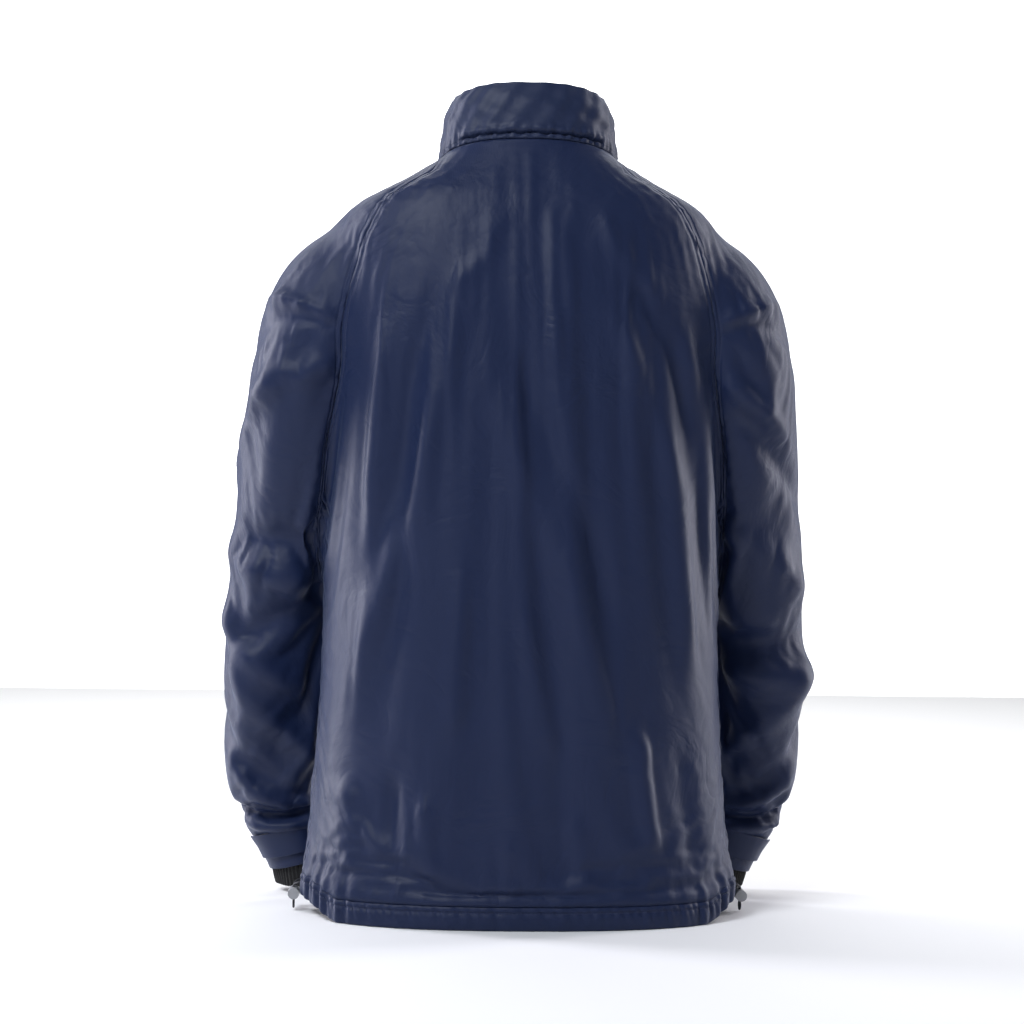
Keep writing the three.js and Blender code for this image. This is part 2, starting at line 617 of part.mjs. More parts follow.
// ---------- lining, neck tape, hanging loop and label ----------
const liningShape = loftSolid(bodyRings(liningInset, 0, plainRows, plainAngles))
  .subtract(loftSolid(bodyRings(liningInset + 0.8, 8, plainRows, plainAngles)));
const armholes = sides.map(([, side]) => sleeveRegion(side, 0).intersect(
  boxSolid([-farAway, -farAway, shoulderHeight - 175], [farAway, farAway, farAway])));
const liningLow = boxSolid([-farAway, -farAway, -50], [farAway, farAway, hemBand + 22]);
const aboveLining = boxSolid([-farAway, -farAway, neckHeight - 34], [farAway, farAway, farAway]);
addPiece('body_lining',
  armholes.reduce((rest, hole) => rest.subtract(hole), liningShape)
    .subtract(xRange(-24, 24).intersect(beforeSeam)).subtract(liningLow).subtract(aboveLining),
  liningFinish);

const backNeck = collarPoint(0, -Math.PI / 2);
addPiece('neck_tape',
  bodyPatch(collarPoint, facingRows.slice(0, 2), backAngles(54),
    (w, a) => facingInset(w, a) - 2.4, (w, a) => facingInset(w, a) - 1.4),
  tapeFinish);
const loopY = backNeck.y + 3 + facingInset(0.02, -Math.PI / 2) * -1 + 6;
addPiece('hanging_loop', cordSolid(
  [[-24, loopY, backNeck.z - 6], [-20, loopY + 1, backNeck.z - 16], [-8, loopY + 2, backNeck.z - 24],
    [8, loopY + 2, backNeck.z - 24], [20, loopY + 1, backNeck.z - 16], [24, loopY, backNeck.z - 6]], 2.6, 14),
tapeFinish);
addPiece('size_label',
  boxSolid([-14, loopY + 5, backNeck.z - 30], [14, loopY + 5.6, backNeck.z - 8]), labelFinish);

// ---------- cuffs ----------
const cuffT = (z) => spread(0.5, 1, 200).find((t) => sleevePath.getPoint(t).z <= z) ?? 1;

sides.forEach(([name, side]) => {
  const end = sleevePath.getPoint(1);
  const knitRing = (z, radius) => sleeveAngles.map((angle) => new THREE.Vector3(
    side * (end.x + (cuffHeight - z) * -0.12 + radius * Math.cos(angle)),
    end.y + (cuffHeight - z) * 0.06 + radius * Math.sin(angle), z));
  const knitRows = [cuffHeight - knitLength, cuffHeight - 12, cuffHeight, cuffHeight + 18];
  const knitRadius = [cuffRadius - 6, cuffRadius - 4.5, cuffRadius - 4.5, cuffRadius - 3.2];
  addPiece(`inner_cuff_${name}`, sheetSolid(
    knitRows.map((z, i) => knitRing(z, knitRadius[i])),
    knitRows.map((z, i) => knitRing(z, knitRadius[i] - knitWall)), true), knitFinish);

  // The tab wraps the back of the sleeve end: sewn at its outer end, its free end towards the body.
  const tabRows = spread(cuffT(cuffHeight + 12 + tabWidth), cuffT(cuffHeight + 12), 3);
  const tabTurn = tabLength / (cuffRadius + 3);
  const tabAngles = spread(radians(-20), radians(-20) - tabTurn, 8);
  addPiece(`cuff_patch_${name}`,
    sleevePatch(side, tabRows, spread(tabAngles[2], tabAngles[8] - 0.25, 6), fitGap + 0.4, 1.5), tapeFinish);
  addPiece(`cuff_tab_${name}`,
    sleevePatch(side, tabRows, tabAngles, 1.9, 3.5), shellFinish);
});

// ---------- hem channel, drawcord and cord locks ----------
const cornerGap = radians(1.2);
const hemQuarter = [cornerGap, ...frontAngles.slice(1).map(radians)];
const backHemAngles = [
  ...hemQuarter.map((a) => a - Math.PI),
  -Math.PI / 2,
  ...[...hemQuarter].reverse().map((a) => -a),
];

function hemChannel(angles) {
  const section = (grow) => {
    const [low, high] = [hemChannelWall * grow, hemBand - hemChannelWall * grow];
    const [near, far] = [-hemChannelWall * grow, -hemChannelDepth + hemChannelWall * grow];
    return angles.map((angle) => [[low, near], [high, near], [high, far], [low, far]].map(([height, inset]) => {
      const point = pushed(hemPoint, 0.5, angle, inset);
      return point.setZ(height + sideLift(angle));
    }));
  };
  return loftSolid(section(0)).subtract(loftSolid(section(1).map((ring, i, all) => {
    const last = all.length - 1;
    const away = i === 0 ? all[0][0].clone().sub(all[1][0]) : all[last][0].clone().sub(all[last - 1][0]);
    const push = i === 0 || i === last ? away.normalize().multiplyScalar(3) : new THREE.Vector3();
    return ring.map((p) => p.clone().add(push));
  })));
}

const eyeletHeight = hemLift + hemBand / 2 + 1;
const eyeletY = 11;
const loopPitch = 3;
const lockZ = hemLift + 1;
const lockX = hemHalfWidth + lockRadius + 2.4;
const cornerX = (y) => {
  const share = Math.abs(y) / (y > 0 ? frontAt(0) : hemBackDepth);
  return hemHalfWidth * (1 - share ** roundness) ** (1 / roundness);
};
const eyeletHoles = sides.flatMap(([, side]) => [-1, 1].map((end) => rodSolid(
  eyeletRadius / 2 + 0.6,
  [side * (hemHalfWidth - 4), end * eyeletY, eyeletHeight],
  [side * (hemHalfWidth + 6), end * eyeletY, eyeletHeight], 10)));
const withEyeletHoles = (solid) => eyeletHoles.reduce((rest, hole) => rest.subtract(hole), solid);

addPiece('hem_band_back', withEyeletHoles(hemChannel(backHemAngles)), shellFinish);
const frontHemEnd = Math.acos(((zipGapHalf + 2) / hemHalfWidth) ** (roundness / 2));
const zipRoom = placed(
  boxSolid([-tapeReach - 0.6, -9, -20], [tapeReach + 0.6, tapeSet - hemChannelWall - 0.2, hemBand + 20]), mainZip);
sides.forEach(([name, side]) => {
  const angles = [...hemQuarter.filter((a) => a < frontHemEnd - 0.01), frontHemEnd];
  const channel = hemChannel(side > 0 ? angles : angles.map((a) => Math.PI - a));
  addPiece(`hem_band_front_${name}`, withEyeletHoles(channel).subtract(zipRoom), shellFinish);
});

const cordInset = -hemChannelDepth / 2;
const channelMiddle = (angle) => {
  const point = pushed(hemPoint, 0.5, angle, cordInset);
  return point.setZ(hemBand / 2 + sideLift(angle));
};

// The cord keeps to the middle of the channel's straight sides, which run from one listed angle to the next.
function hemCordPoint(angle, channelAngles) {
  const sorted = [...channelAngles].sort((a, b) => a - b);
  const next = Math.max(1, sorted.findIndex((a) => a >= angle - 1e-9));
  const [from, to] = [sorted[next - 1], sorted[next]];
  return channelMiddle(from).lerp(channelMiddle(to), (angle - from) / (to - from)).toArray();
}
const cornerAngle = (y) => Math.asin((Math.abs(y) / (y > 0 ? frontAt(0) : hemBackDepth)) ** (roundness / 2));
const cordStart = cornerAngle(eyeletY) + 0.05;
const between = (list, low, high) => [low, ...list.filter((a) => a > low + 0.02 && a < high - 0.02), high];
const backCord = between(backHemAngles, -Math.PI + cordStart, -cordStart)
  .map((angle) => hemCordPoint(angle, backHemAngles));
addPiece('hem_drawcord_back', cordSolid(backCord, cordDiameter, 60, 8, true), plasticFinish);
sides.forEach(([name, side]) => {
  const quarterAngles = [...hemQuarter.filter((a) => a < frontHemEnd - 0.01), frontHemEnd];
  const channelAngles = side > 0 ? quarterAngles : quarterAngles.map((a) => Math.PI - a);
  const points = between(quarterAngles, cordStart, frontHemEnd - 0.03)
    .map((angle) => hemCordPoint(side > 0 ? angle : Math.PI - angle, channelAngles));
  addPiece(`hem_drawcord_front_${name}`, cordSolid(points, cordDiameter, 30, 8, true), plasticFinish);
  [['back', -1], ['front', 1]].forEach(([place, end]) => {
    const x = cornerX(eyeletY);
    const ring = new THREE.LatheGeometry([
      new THREE.Vector2(eyeletRadius / 2, 0), new THREE.Vector2(eyeletRadius, 0),
      new THREE.Vector2(eyeletRadius - 0.2, 0.7), new THREE.Vector2(eyeletRadius / 2 + 0.3, 0.9),
      new THREE.Vector2(eyeletRadius / 2, 0)], 12);
    ring.rotateZ(side > 0 ? -Math.PI / 2 : Math.PI / 2);
    const eyelet = addPiece(`hem_eyelet_${place}_${name}`, toSolid(ring), metalFinish);
    eyelet.position.set(side * (Math.max(x, cornerX(-eyeletY)) + 0.5), end * eyeletY, eyeletHeight);
  });

  // The cord comes out of one eyelet, runs through the lock, turns back and goes in at the other.
  const outX = hemHalfWidth + 3.4;
  const half = [[hemHalfWidth + 0.4, eyeletY, eyeletHeight], [outX, eyeletY - 1.2, eyeletHeight - 0.3],
    [lockX - 1.5, eyeletY - 5, eyeletHeight - 2], [lockX, loopPitch / 2 + 0.2, lockZ + lockRadius + 1],
    [lockX, loopPitch / 2, lockZ], [lockX, loopPitch / 2 + 0.2, lockZ - lockRadius - 0.4],
    [lockX, loopPitch + 1.2, lockZ - lockRadius - 3.8], [lockX, loopPitch + 0.4, lockZ - lockRadius - 7]];
  const turned = [...half].reverse().map(([px, py, pz]) => [px, -py, pz]);
  const bottom = [lockX, 0, lockZ - lockRadius - 9];
  const loop = [...half, bottom, ...turned].map(([px, py, pz]) => [px * side, py, pz]);
  addPiece(`cord_loop_${name}`, cordSolid(loop, cordDiameter, 24), plasticFinish);

  const lock = new THREE.Group();
  lock.position.set(side * lockX, 0, lockZ);
  jacket.add(lock);
  const cordRoom = loopPitch / 2 + cordDiameter / 2 + fitGap + 0.1;
  const cordHole = boxSolid([-cordDiameter / 2 - 0.4, -cordRoom, -9], [cordDiameter / 2 + 0.4, cordRoom, 9]);
  const [mouthY, blindY] = [lockLength / 2 - 2, -lockLength / 2 - 2];
  const barrel = rodSolid(lockRadius, [0, blindY, 0], [0, mouthY, 0], 20)
    .subtract(rodSolid(lockRadius - 1.5, [0, blindY + 1.5, 0], [0, mouthY + 1, 0], 20)).subtract(cordHole);
  addPiece(`cord_lock_body_${name}`, barrel, plasticFinish, lock);
  const stemRadius = lockRadius - 1.5 - fitGap;
  const buttonHole = boxSolid(
    [-cordDiameter / 2 - 0.4, -cordRoom, -9], [cordDiameter / 2 + 0.4, cordRoom + buttonTravel, 9]);
  const stemEnd = -cordRoom - 1.6;
  const button = rodSolid(stemRadius, [0, stemEnd, 0], [0, mouthY + buttonTravel + 0.8, 0], 18)
    .add(rodSolid(lockRadius - 0.7, [0, mouthY + buttonTravel + 0.6, 0], [0, mouthY + buttonTravel + 3, 0], 18))
    .subtract(buttonHole);
  addPiece(`cord_lock_button_${name}`, button, plasticFinish, lock);
  const springTurns = 3;
  const springLow = blindY + 1.5 + buttonTravel + 0.3;
  const springHigh = stemEnd - 0.7;
  const springPoints = spread(0, springTurns * 2 * Math.PI, springTurns * 8).map((angle) => [
    2.4 * Math.cos(angle), springLow + 0.3 + (springHigh - springLow - 0.3) * angle / (springTurns * 2 * Math.PI),
    2.4 * Math.sin(angle)]);
  addPiece(`cord_lock_spring_${name}`, cordSolid(springPoints, 0.6, springTurns * 8, 6), metalFinish, lock);
});

// The origin is the middle of the jacket's footprint, on the surface that it stands on.
const bounds = new THREE.Box3().setFromObject(jacket);
const footprint = bounds.getCenter(new THREE.Vector3());
jacket.position.set(-footprint.x, -footprint.y, -bounds.min.z);

export default jacket;
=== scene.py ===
import contextlib
import math
import bmesh
import bpy
import numpy as np
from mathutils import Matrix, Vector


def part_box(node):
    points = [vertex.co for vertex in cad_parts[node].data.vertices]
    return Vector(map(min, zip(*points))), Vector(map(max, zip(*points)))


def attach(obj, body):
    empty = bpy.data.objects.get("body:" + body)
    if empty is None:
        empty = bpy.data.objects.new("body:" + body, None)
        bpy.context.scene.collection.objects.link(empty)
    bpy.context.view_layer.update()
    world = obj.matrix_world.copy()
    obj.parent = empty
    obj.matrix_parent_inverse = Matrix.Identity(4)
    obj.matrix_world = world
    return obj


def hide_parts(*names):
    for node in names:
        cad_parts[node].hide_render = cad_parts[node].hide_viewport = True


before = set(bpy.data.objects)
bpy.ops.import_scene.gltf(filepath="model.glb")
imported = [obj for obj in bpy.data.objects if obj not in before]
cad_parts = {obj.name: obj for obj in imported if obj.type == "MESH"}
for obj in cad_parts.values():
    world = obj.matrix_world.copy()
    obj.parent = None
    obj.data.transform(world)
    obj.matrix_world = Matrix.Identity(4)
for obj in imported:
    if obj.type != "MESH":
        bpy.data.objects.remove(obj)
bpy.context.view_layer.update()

scene = bpy.context.scene

# The jacket's own sizes, the same ones that the frame was made with, in metres
body = {
    "neckHeight": 0.733, "neckHalf": 0.087, "neckBack": 0.073, "neckTilt": 0.016,
    "collarHeight": 0.066, "collarHalf": 0.081, "collarBack": 0.061, "collarDrop": 0.005,
        "collarRound": 0.005,
    "collarSideDrop": 0.007,
    "shoulderHalf": 0.228, "shoulderSlope": math.radians(29), "shoulderEdge": 0.040,
    "waistHeight": 0.260, "waistHalf": 0.198, "waistBack": 0.118,
    "chestHalf": 0.195, "chestBack": 0.124, "hemHalf": 0.212, "hemBack": 0.126, "hemLift": 0.016,
    "frontDepth": 0.132, "frontLean": 0.045, "roundness": 2.35, "hemBand": 0.022, "seamGap": 0.0004,
    "cuffHeight": 0.034, "cuffReach": 0.214, "cuffForward": 0.130, "cuffRadius": 0.037, "zipGapHalf": 0.007,
}
shoulderHeight = body["neckHeight"] - (body["shoulderHalf"] - body["neckHalf"]) * math.tan(body["shoulderSlope"])
edgeHeight = shoulderHeight + body["shoulderEdge"] * math.tan(body["shoulderSlope"])
armDrop = shoulderHeight - body["cuffHeight"]
# how far the frame's origin lies from the arms' roots
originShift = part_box("hem_band_back")[0][1] + body["hemBack"]

# The camera stands behind the jacket
camera = bpy.data.objects.new("camera", bpy.data.cameras.new("camera"))
scene.collection.objects.link(camera)
camera.data.lens = 89.3
viewTurn = math.radians(3.3)  # the jacket is seen from a little to its left
camera.location = (-0.011 - 2.5 * math.sin(viewTurn), originShift - 2.5 * math.cos(viewTurn), 0.392)
camera.rotation_euler = (math.pi / 2, -math.radians(0.8), -viewTurn)
scene.camera = camera


def stationCurve(points, t):
    # Centripetal Catmull-Rom curve: a cubic through each pair of stations, its slopes set by the chords'
    # square roots.
    points = np.asarray(points, float)
    t = np.clip(np.asarray(t, float), 0, 1) * (len(points) - 1)
    index = np.minimum(t.astype(int), len(points) - 2)
    w = (t - index)[..., None]
    padded = np.vstack([2 * points[0] - points[1], points, 2 * points[-1] - points[-2]])
    p0, p1, p2, p3 = (padded[index + k] for k in range(4))
    gap = lambda a, b: np.maximum(np.sum((a - b) ** 2, axis=-1) ** 0.25, 1e-6)[..., None]
    d0, d1, d2 = gap(p0, p1), gap(p1, p2), gap(p2, p3)
    m1 = ((p1 - p0) / d0 - (p2 - p0) / (d0 + d1) + (p2 - p1) / d1) * d1
    m2 = ((p2 - p1) / d1 - (p3 - p1) / (d1 + d2) + (p3 - p2) / d2) * d1
    return (p1 + m1 * w + (-3 * p1 + 3 * p2 - 2 * m1 - m2) * w ** 2 + (2 * p1 - 2 * p2 + m1 + m2) * w ** 3)


def smoothStep(low, high, value):
    # Rises from 0 at low to 1 at high along a cubic.
    share = np.clip((value - low) / (high - low), 0, 1)
    return share * share * (3 - 2 * share)


def gridFaces(rows, columns, closed):
    # Quads of a grid of points, its last column joined to the first when it is closed.
    r, c = np.meshgrid(np.arange(rows - 1), np.arange(columns if closed else columns - 1), indexing="ij")
    n = (c + 1) % columns
    return np.stack([r * columns + c, r * columns + n, (r + 1) * columns + n, (r + 1) * columns + c],
                    -1).reshape(-1, 4)


def meshObject(name, points, faces, smoothShade=True):
    mesh = bpy.data.meshes.new(name)
    mesh.from_pydata(np.asarray(points, float).reshape(-1, 3), [], [tuple(int(i) for i in f) for f in faces])
    mesh.validate()
    mesh.shade_smooth() if smoothShade else mesh.shade_flat()
    made = bpy.data.objects.new(name, mesh)
    scene.collection.objects.link(made)
    return made


@contextlib.contextmanager
def edited(mesh):
    # Opens a mesh for bmesh edits and writes it back.
    work = bmesh.new()
    work.from_mesh(mesh)
    yield work
    work.to_mesh(mesh)
    work.free()


def recalcNormals(obj, merge=0.0):
    with edited(obj.data) as work:
        if merge:
            bmesh.ops.remove_doubles(work, verts=work.verts, dist=merge)
        bmesh.ops.recalc_face_normals(work, faces=work.faces)


def closeEnds(obj):
    # Shuts the open ends of a tube with a face each.
    with edited(obj.data) as work:
        bmesh.ops.holes_fill(work, edges=work.edges, sides=0)
        bmesh.ops.recalc_face_normals(work, faces=work.faces)


def squared(wave, power):
    # A sine or cosine drawn out to a squarer wave: its size to a power below one, with its sign kept.
    return np.sign(wave) * np.abs(wave) ** power


def closedLoft(name, grid):
    # A closed tube through the grid's rings, each end shut by one face.
    rows, columns = grid.shape[:2]
    faces = gridFaces(rows, columns, True).tolist()
    faces.append(list(range(columns))[::-1])
    faces.append([(rows - 1) * columns + i for i in range(columns)])
    made = meshObject(name, grid, faces)
    recalcNormals(made)
    return made


def joinObjects(objects):
    bpy.ops.object.select_all(action="DESELECT")
    for obj in objects:
        obj.select_set(True)
    bpy.context.view_layer.objects.active = objects[0]
    bpy.ops.object.join()
    return objects[0]


def applied(obj):
    # The object's mesh with its modifiers carried out, put back as its own mesh.
    mesh = bpy.data.meshes.new_from_object(obj.evaluated_get(bpy.context.evaluated_depsgraph_get()))
    obj.modifiers.clear()
    obj.data = mesh
    return obj


def points(obj):
    out = np.empty(len(obj.data.vertices) * 3)
    obj.data.vertices.foreach_get("co", out)
    return out.reshape(-1, 3)


def vertexNormals(obj):
    out = np.empty(len(obj.data.vertices) * 3)
    obj.data.vertices.foreach_get("normal", out)
    return out.reshape(-1, 3)


def setPoints(obj, values):
    obj.data.vertices.foreach_set("co", np.ascontiguousarray(values, float).ravel())
    obj.data.update()


def thicken(piece, thickness):
    solid = piece.modifiers.new("thickness", "SOLIDIFY")
    solid.thickness = thickness
    solid.offset = -1
    return piece


def gridObject(name, grid, closed=False, thickness=0.0, uv=(1, 1), finer=0):
    # A sheet through a grid of points, with a UV that runs with its rows and columns in metres.
    rows, columns = grid.shape[:2]
    made = meshObject(name, grid, gridFaces(rows, columns, closed))
    layer = made.data.uv_layers.new(name="cloth")
    loops = np.empty(len(made.data.loops), int)
    made.data.loops.foreach_get("vertex_index", loops)
    r, c = loops // columns, loops % columns
    seam = closed & (np.repeat(np.arange(len(made.data.polygons)), 4) % columns == columns - 1) & (c == 0)
    c = np.where(seam, columns, c)
    steps = columns if closed else columns - 1
    layer.data.foreach_set("uv", np.stack([c / steps * uv[0], r / (rows - 1) * uv[1]],
                                          -1).ravel().astype(np.float32))
    if finer:
        sub = made.modifiers.new("finer", "SUBSURF")
        sub.levels = sub.render_levels = finer
    if thickness:
        thicken(made, thickness)
    return made


def tubeGrid(path, radius, sides=10):
    # Rings of a tube along a path, turned with the least twist from ring to ring.
    path = np.asarray(path, float)
    along = np.gradient(path, axis=0)
    along /= np.linalg.norm(along, axis=1, keepdims=True)
    across = np.cross(along[0], [0.3, 0.2, 0.9])
    turn = np.linspace(0, 2 * np.pi, sides, endpoint=False)
    rings = []
    for place, direction in zip(path, along):
        across = across - direction * (across @ direction)
        across /= np.linalg.norm(across)
        other = np.cross(direction, across)
        rings.append(place + radius * (np.cos(turn)[:, None] * across + np.sin(turn)[:, None] * other))
    return np.array(rings)


def capped(name, rings, uv=(1, 1)):
    # A closed tube whose ends are drawn in to a point in three rings.
    ends = []
    for end, second in ((rings[0], rings[1]), (rings[-1], rings[-2])):
        middle = end.mean(0)
        out = (middle - second.mean(0)) * 0.4
        ends.append([middle + (end - middle) * k + out * m for k,
                     m in ((0.75, 0.6), (0.35, 0.9), (0.02, 1.0))])
    grid = np.concatenate([ends[0][::-1], rings, ends[1]])
    return gridObject(name, grid, closed=True, uv=uv)


def smoothPath(stops, count):
    return stationCurve(stops, np.linspace(0, 1, count))


# The cord loops at the hem: each comes out of one eyelet, runs through its lock and goes back in
hem = {"band": body["hemBand"], "depth": 0.0068, "cord": 0.0024, "eyeletY": 0.011, "lockRadius": 0.0055,
       "cornerGap": math.radians(1.2)}

eyeletHeight = body["hemLift"] + hem["band"] / 2 + 0.001
lockHeight = body["hemLift"] + 0.001
lockX = body["hemHalf"] + hem["lockRadius"] + 0.0024
outX = body["hemHalf"] + 0.0034
halfLoop = [(body["hemHalf"] + 0.0004, hem["eyeletY"], eyeletHeight),
            (outX, hem["eyeletY"] - 0.0012, eyeletHeight - 0.0003),
            (lockX - 0.0015, hem["eyeletY"] - 0.005, eyeletHeight - 0.002),
            (lockX, 0.0017, lockHeight + hem["lockRadius"] + 0.001),
            (lockX, 0.0015, lockHeight), (lockX, 0.0017, lockHeight - hem["lockRadius"] - 0.0004),
            (lockX, 0.0042, lockHeight - hem["lockRadius"] - 0.0038),
            (lockX, 0.0034, lockHeight - hem["lockRadius"] - 0.007)]
cordLoops = {}
for name, side in (("right", 1), ("left", -1)):
    ends = halfLoop + [(lockX, 0, lockHeight - hem["lockRadius"] - 0.009)] + [(x, -y, z) for x, y,
                                                                              z in halfLoop[::-1]]
    line = smoothPath([(x * side, y + originShift, z) for x, y, z in ends], 110)
    length = float(np.linalg.norm(np.diff(line, axis=0), axis=1).sum())
    cordLoops[name] = (capped("cordLoop" + name.title(), tubeGrid(line, hem["cord"] / 2 - 0.0001, 12),
                              uv=(0.0075, length)),
                       line, length)
print("camera and cord loops done")


bodyStations = [  # half width, depth behind the middle, height
    (body["hemHalf"], body["hemBack"], body["hemBand"] + body["seamGap"]),
    ((body["hemHalf"] + body["waistHalf"]) / 2, (body["hemBack"] + body["waistBack"]) / 2,
     body["waistHeight"] * 0.45),
    (body["waistHalf"], body["waistBack"], body["waistHeight"]),
    (body["chestHalf"], body["chestBack"], shoulderHeight - 0.155),
    (body["chestHalf"] + 0.006, body["chestBack"] + 0.003, shoulderHeight - 0.075),
    (body["chestHalf"] + 0.003, body["chestBack"] - 0.002, shoulderHeight - 0.025),
    (body["shoulderHalf"] - body["shoulderEdge"], body["chestBack"] - 0.013, edgeHeight),
    ((body["shoulderHalf"] - body["shoulderEdge"] + body["neckHalf"]) / 2, body["neckBack"] + 0.020,
     (edgeHeight + body["neckHeight"]) / 2),
    (body["neckHalf"], body["neckBack"], body["neckHeight"]),
]


def armAt(share):
    return shoulderHeight - armDrop * share


sleeveStations = [  # middle x, y, z, half width across, half depth
    (body["shoulderHalf"] - 0.123, 0.008, shoulderHeight - 0.015, 0.060, 0.066),
    (body["shoulderHalf"] - 0.063, 0.008, shoulderHeight - 0.055, 0.078, 0.078),
    (body["shoulderHalf"] - 0.041, 0.009, shoulderHeight - 0.078, 0.077, 0.078),
    (body["shoulderHalf"] - 0.023, 0.012, shoulderHeight - 0.105, 0.068, 0.074),
    (body["shoulderHalf"] + 0.001, 0.032, armAt(0.29), 0.053, 0.062),
    (body["shoulderHalf"] + 0.012, 0.056, armAt(0.41), 0.050, 0.055),
    (body["shoulderHalf"] + 0.018, 0.078, armAt(0.572), 0.052, 0.054),
    (body["shoulderHalf"] + 0.019, 0.100, armAt(0.733), 0.054, 0.052),
    (body["shoulderHalf"] + 0.013, 0.118, body["cuffHeight"] + 0.086, 0.050, 0.046),
    (body["cuffReach"] + 0.020, body["cuffForward"] - 0.006, body["cuffHeight"] + 0.056, 0.046, 0.042),
    (body["cuffReach"] + 0.008, body["cuffForward"] - 0.002, body["cuffHeight"] + 0.026,
     body["cuffRadius"] + 0.003, body["cuffRadius"] + 0.001),
    (body["cuffReach"], body["cuffForward"], body["cuffHeight"], body["cuffRadius"],
     body["cuffRadius"] - 0.001),
]


def frontAt(z):
    return body["frontDepth"] - body["frontLean"] * z


def ovalPoint(half, back, angle, z):
    # Oval section: |x/half|^n + |y/depth|^n = 1, with angle 0 on the wearer's right and -90 degrees behind.
    power = 2 / body["roundness"]
    c, s = np.cos(angle), np.sin(angle)
    depth = np.where(s > 0, frontAt(z), back)
    x = half * squared(c, power)
    return np.stack([x, depth * squared(s, power) + originShift, z + 0 * x], axis=-1)


def sideLift(angle):
    return body["hemLift"] * smoothStep(0.8, 1, np.abs(np.cos(angle)))


def bodyPoint(v, angle):
    # The body's surface: the station at v, its ring lifted at the hem's sides and tilted at the neck.
    station = stationCurve(bodyStations, v)
    half, back, z = station[..., 0], station[..., 1], station[..., 2]
    lift = sideLift(angle) * (1 - smoothStep(body["hemBand"], body["hemBand"] + 0.12, z))
    tilt = -body["neckTilt"] * np.sin(angle) * smoothStep(shoulderHeight - 0.06, body["neckHeight"], z)
    return ovalPoint(half, back, angle, z + lift + tilt)


def sleeveFrame(t):
    # Middle, along, outward and forward directions and the two half sizes of the right sleeve at t.
    stations = np.asarray(sleeveStations)
    middle = stationCurve(stations[:, :3], t)
    step = 1e-3
    along = stationCurve(stations[:, :3], np.clip(t + step, 0, 1)) - stationCurve(stations[:, :3],
                                                                                  np.clip(t - step, 0, 1))
    along /= np.linalg.norm(along, axis=-1, keepdims=True)
    outward = np.cross(np.array([0.0, 1.0, 0.0]), along)
    outward /= np.linalg.norm(outward, axis=-1, keepdims=True)
    outward *= np.where(outward[..., :1] < 0, -1, 1)
    forward = np.cross(along, outward)
    forward *= np.where(forward[..., 1:2] < 0, -1, 1)
    sizes = stationCurve(np.column_stack([stations[:, 3:], stations[:, 2]]), t)
    middle = middle + np.array([0, originShift, 0])
    return middle, along, outward, forward, sizes[..., 0], sizes[..., 1]


def sleevePoint(t, angle, grow=0.0):
    # The right sleeve's surface: an ellipse round the arm's path, angle 0 outside and -90 degrees behind.
    middle, along, outward, forward, across, deep = sleeveFrame(t)
    return (middle + outward * ((across + grow) * np.cos(angle))[..., None]
            + forward * ((deep + grow) * np.sin(angle))[..., None])


def torsoGap(p):
    # How far each point lies outside the body's oval at its own height, and the angle that it has on it.
    heights = stationCurve(bodyStations, heightTable[:, 0])
    v = np.interp(p[:, 2], heights[:, 2], heightTable[:, 0])
    station = stationCurve(bodyStations, v)
    y = p[:, 1] - originShift
    depth = np.where(y > 0, frontAt(p[:, 2]), station[:, 1])
    n = body["roundness"]
    across, deep = np.abs(p[:, 0]) / station[:, 0], np.abs(y) / depth
    size = np.maximum((across ** n + deep ** n) ** (1 / n), 1e-6)
    angle = np.arctan2(np.sign(y) * (deep / size) ** (n / 2), np.sign(p[:, 0]) * (across / size) ** (n / 2))
    return (size - 1) / size * np.hypot(p[:, 0], y), angle


heightTable = np.linspace(0, 1, 400)[:, None]
armTable = np.linspace(0, 1, 500)
armFrames = sleeveFrame(armTable)


def armPlace(p):
    # Where each point lies on the sleeve of its side: share of its length, angle, and gap outside its
    # ellipse.
    q = p.copy()
    q[:, 0] = np.abs(q[:, 0])
    nearest = np.argmin(((q[:, None, :] - armFrames[0][None, ::5, :]) ** 2).sum(-1), axis=1) * 5
    best = np.clip(nearest[:, None] + np.arange(-5, 6)[None, :], 0, len(armTable) - 1)
    off = q[:, None, :] - armFrames[0][best]
    slide = np.abs((off * armFrames[1][best]).sum(-1))
    index = np.take_along_axis(best, np.argmin(slide, axis=1)[:, None], 1)[:, 0]
    off = q - armFrames[0][index]
    outward = (off * armFrames[2][index]).sum(-1)
    forward = (off * armFrames[3][index]).sum(-1)
    size = np.maximum(np.hypot(outward / armFrames[4][index], forward / armFrames[5][index]), 1e-6)
    angle = np.arctan2(forward / armFrames[5][index], outward / armFrames[4][index])
    return armTable[index], angle, (size - 1) / size * np.hypot(outward, forward)


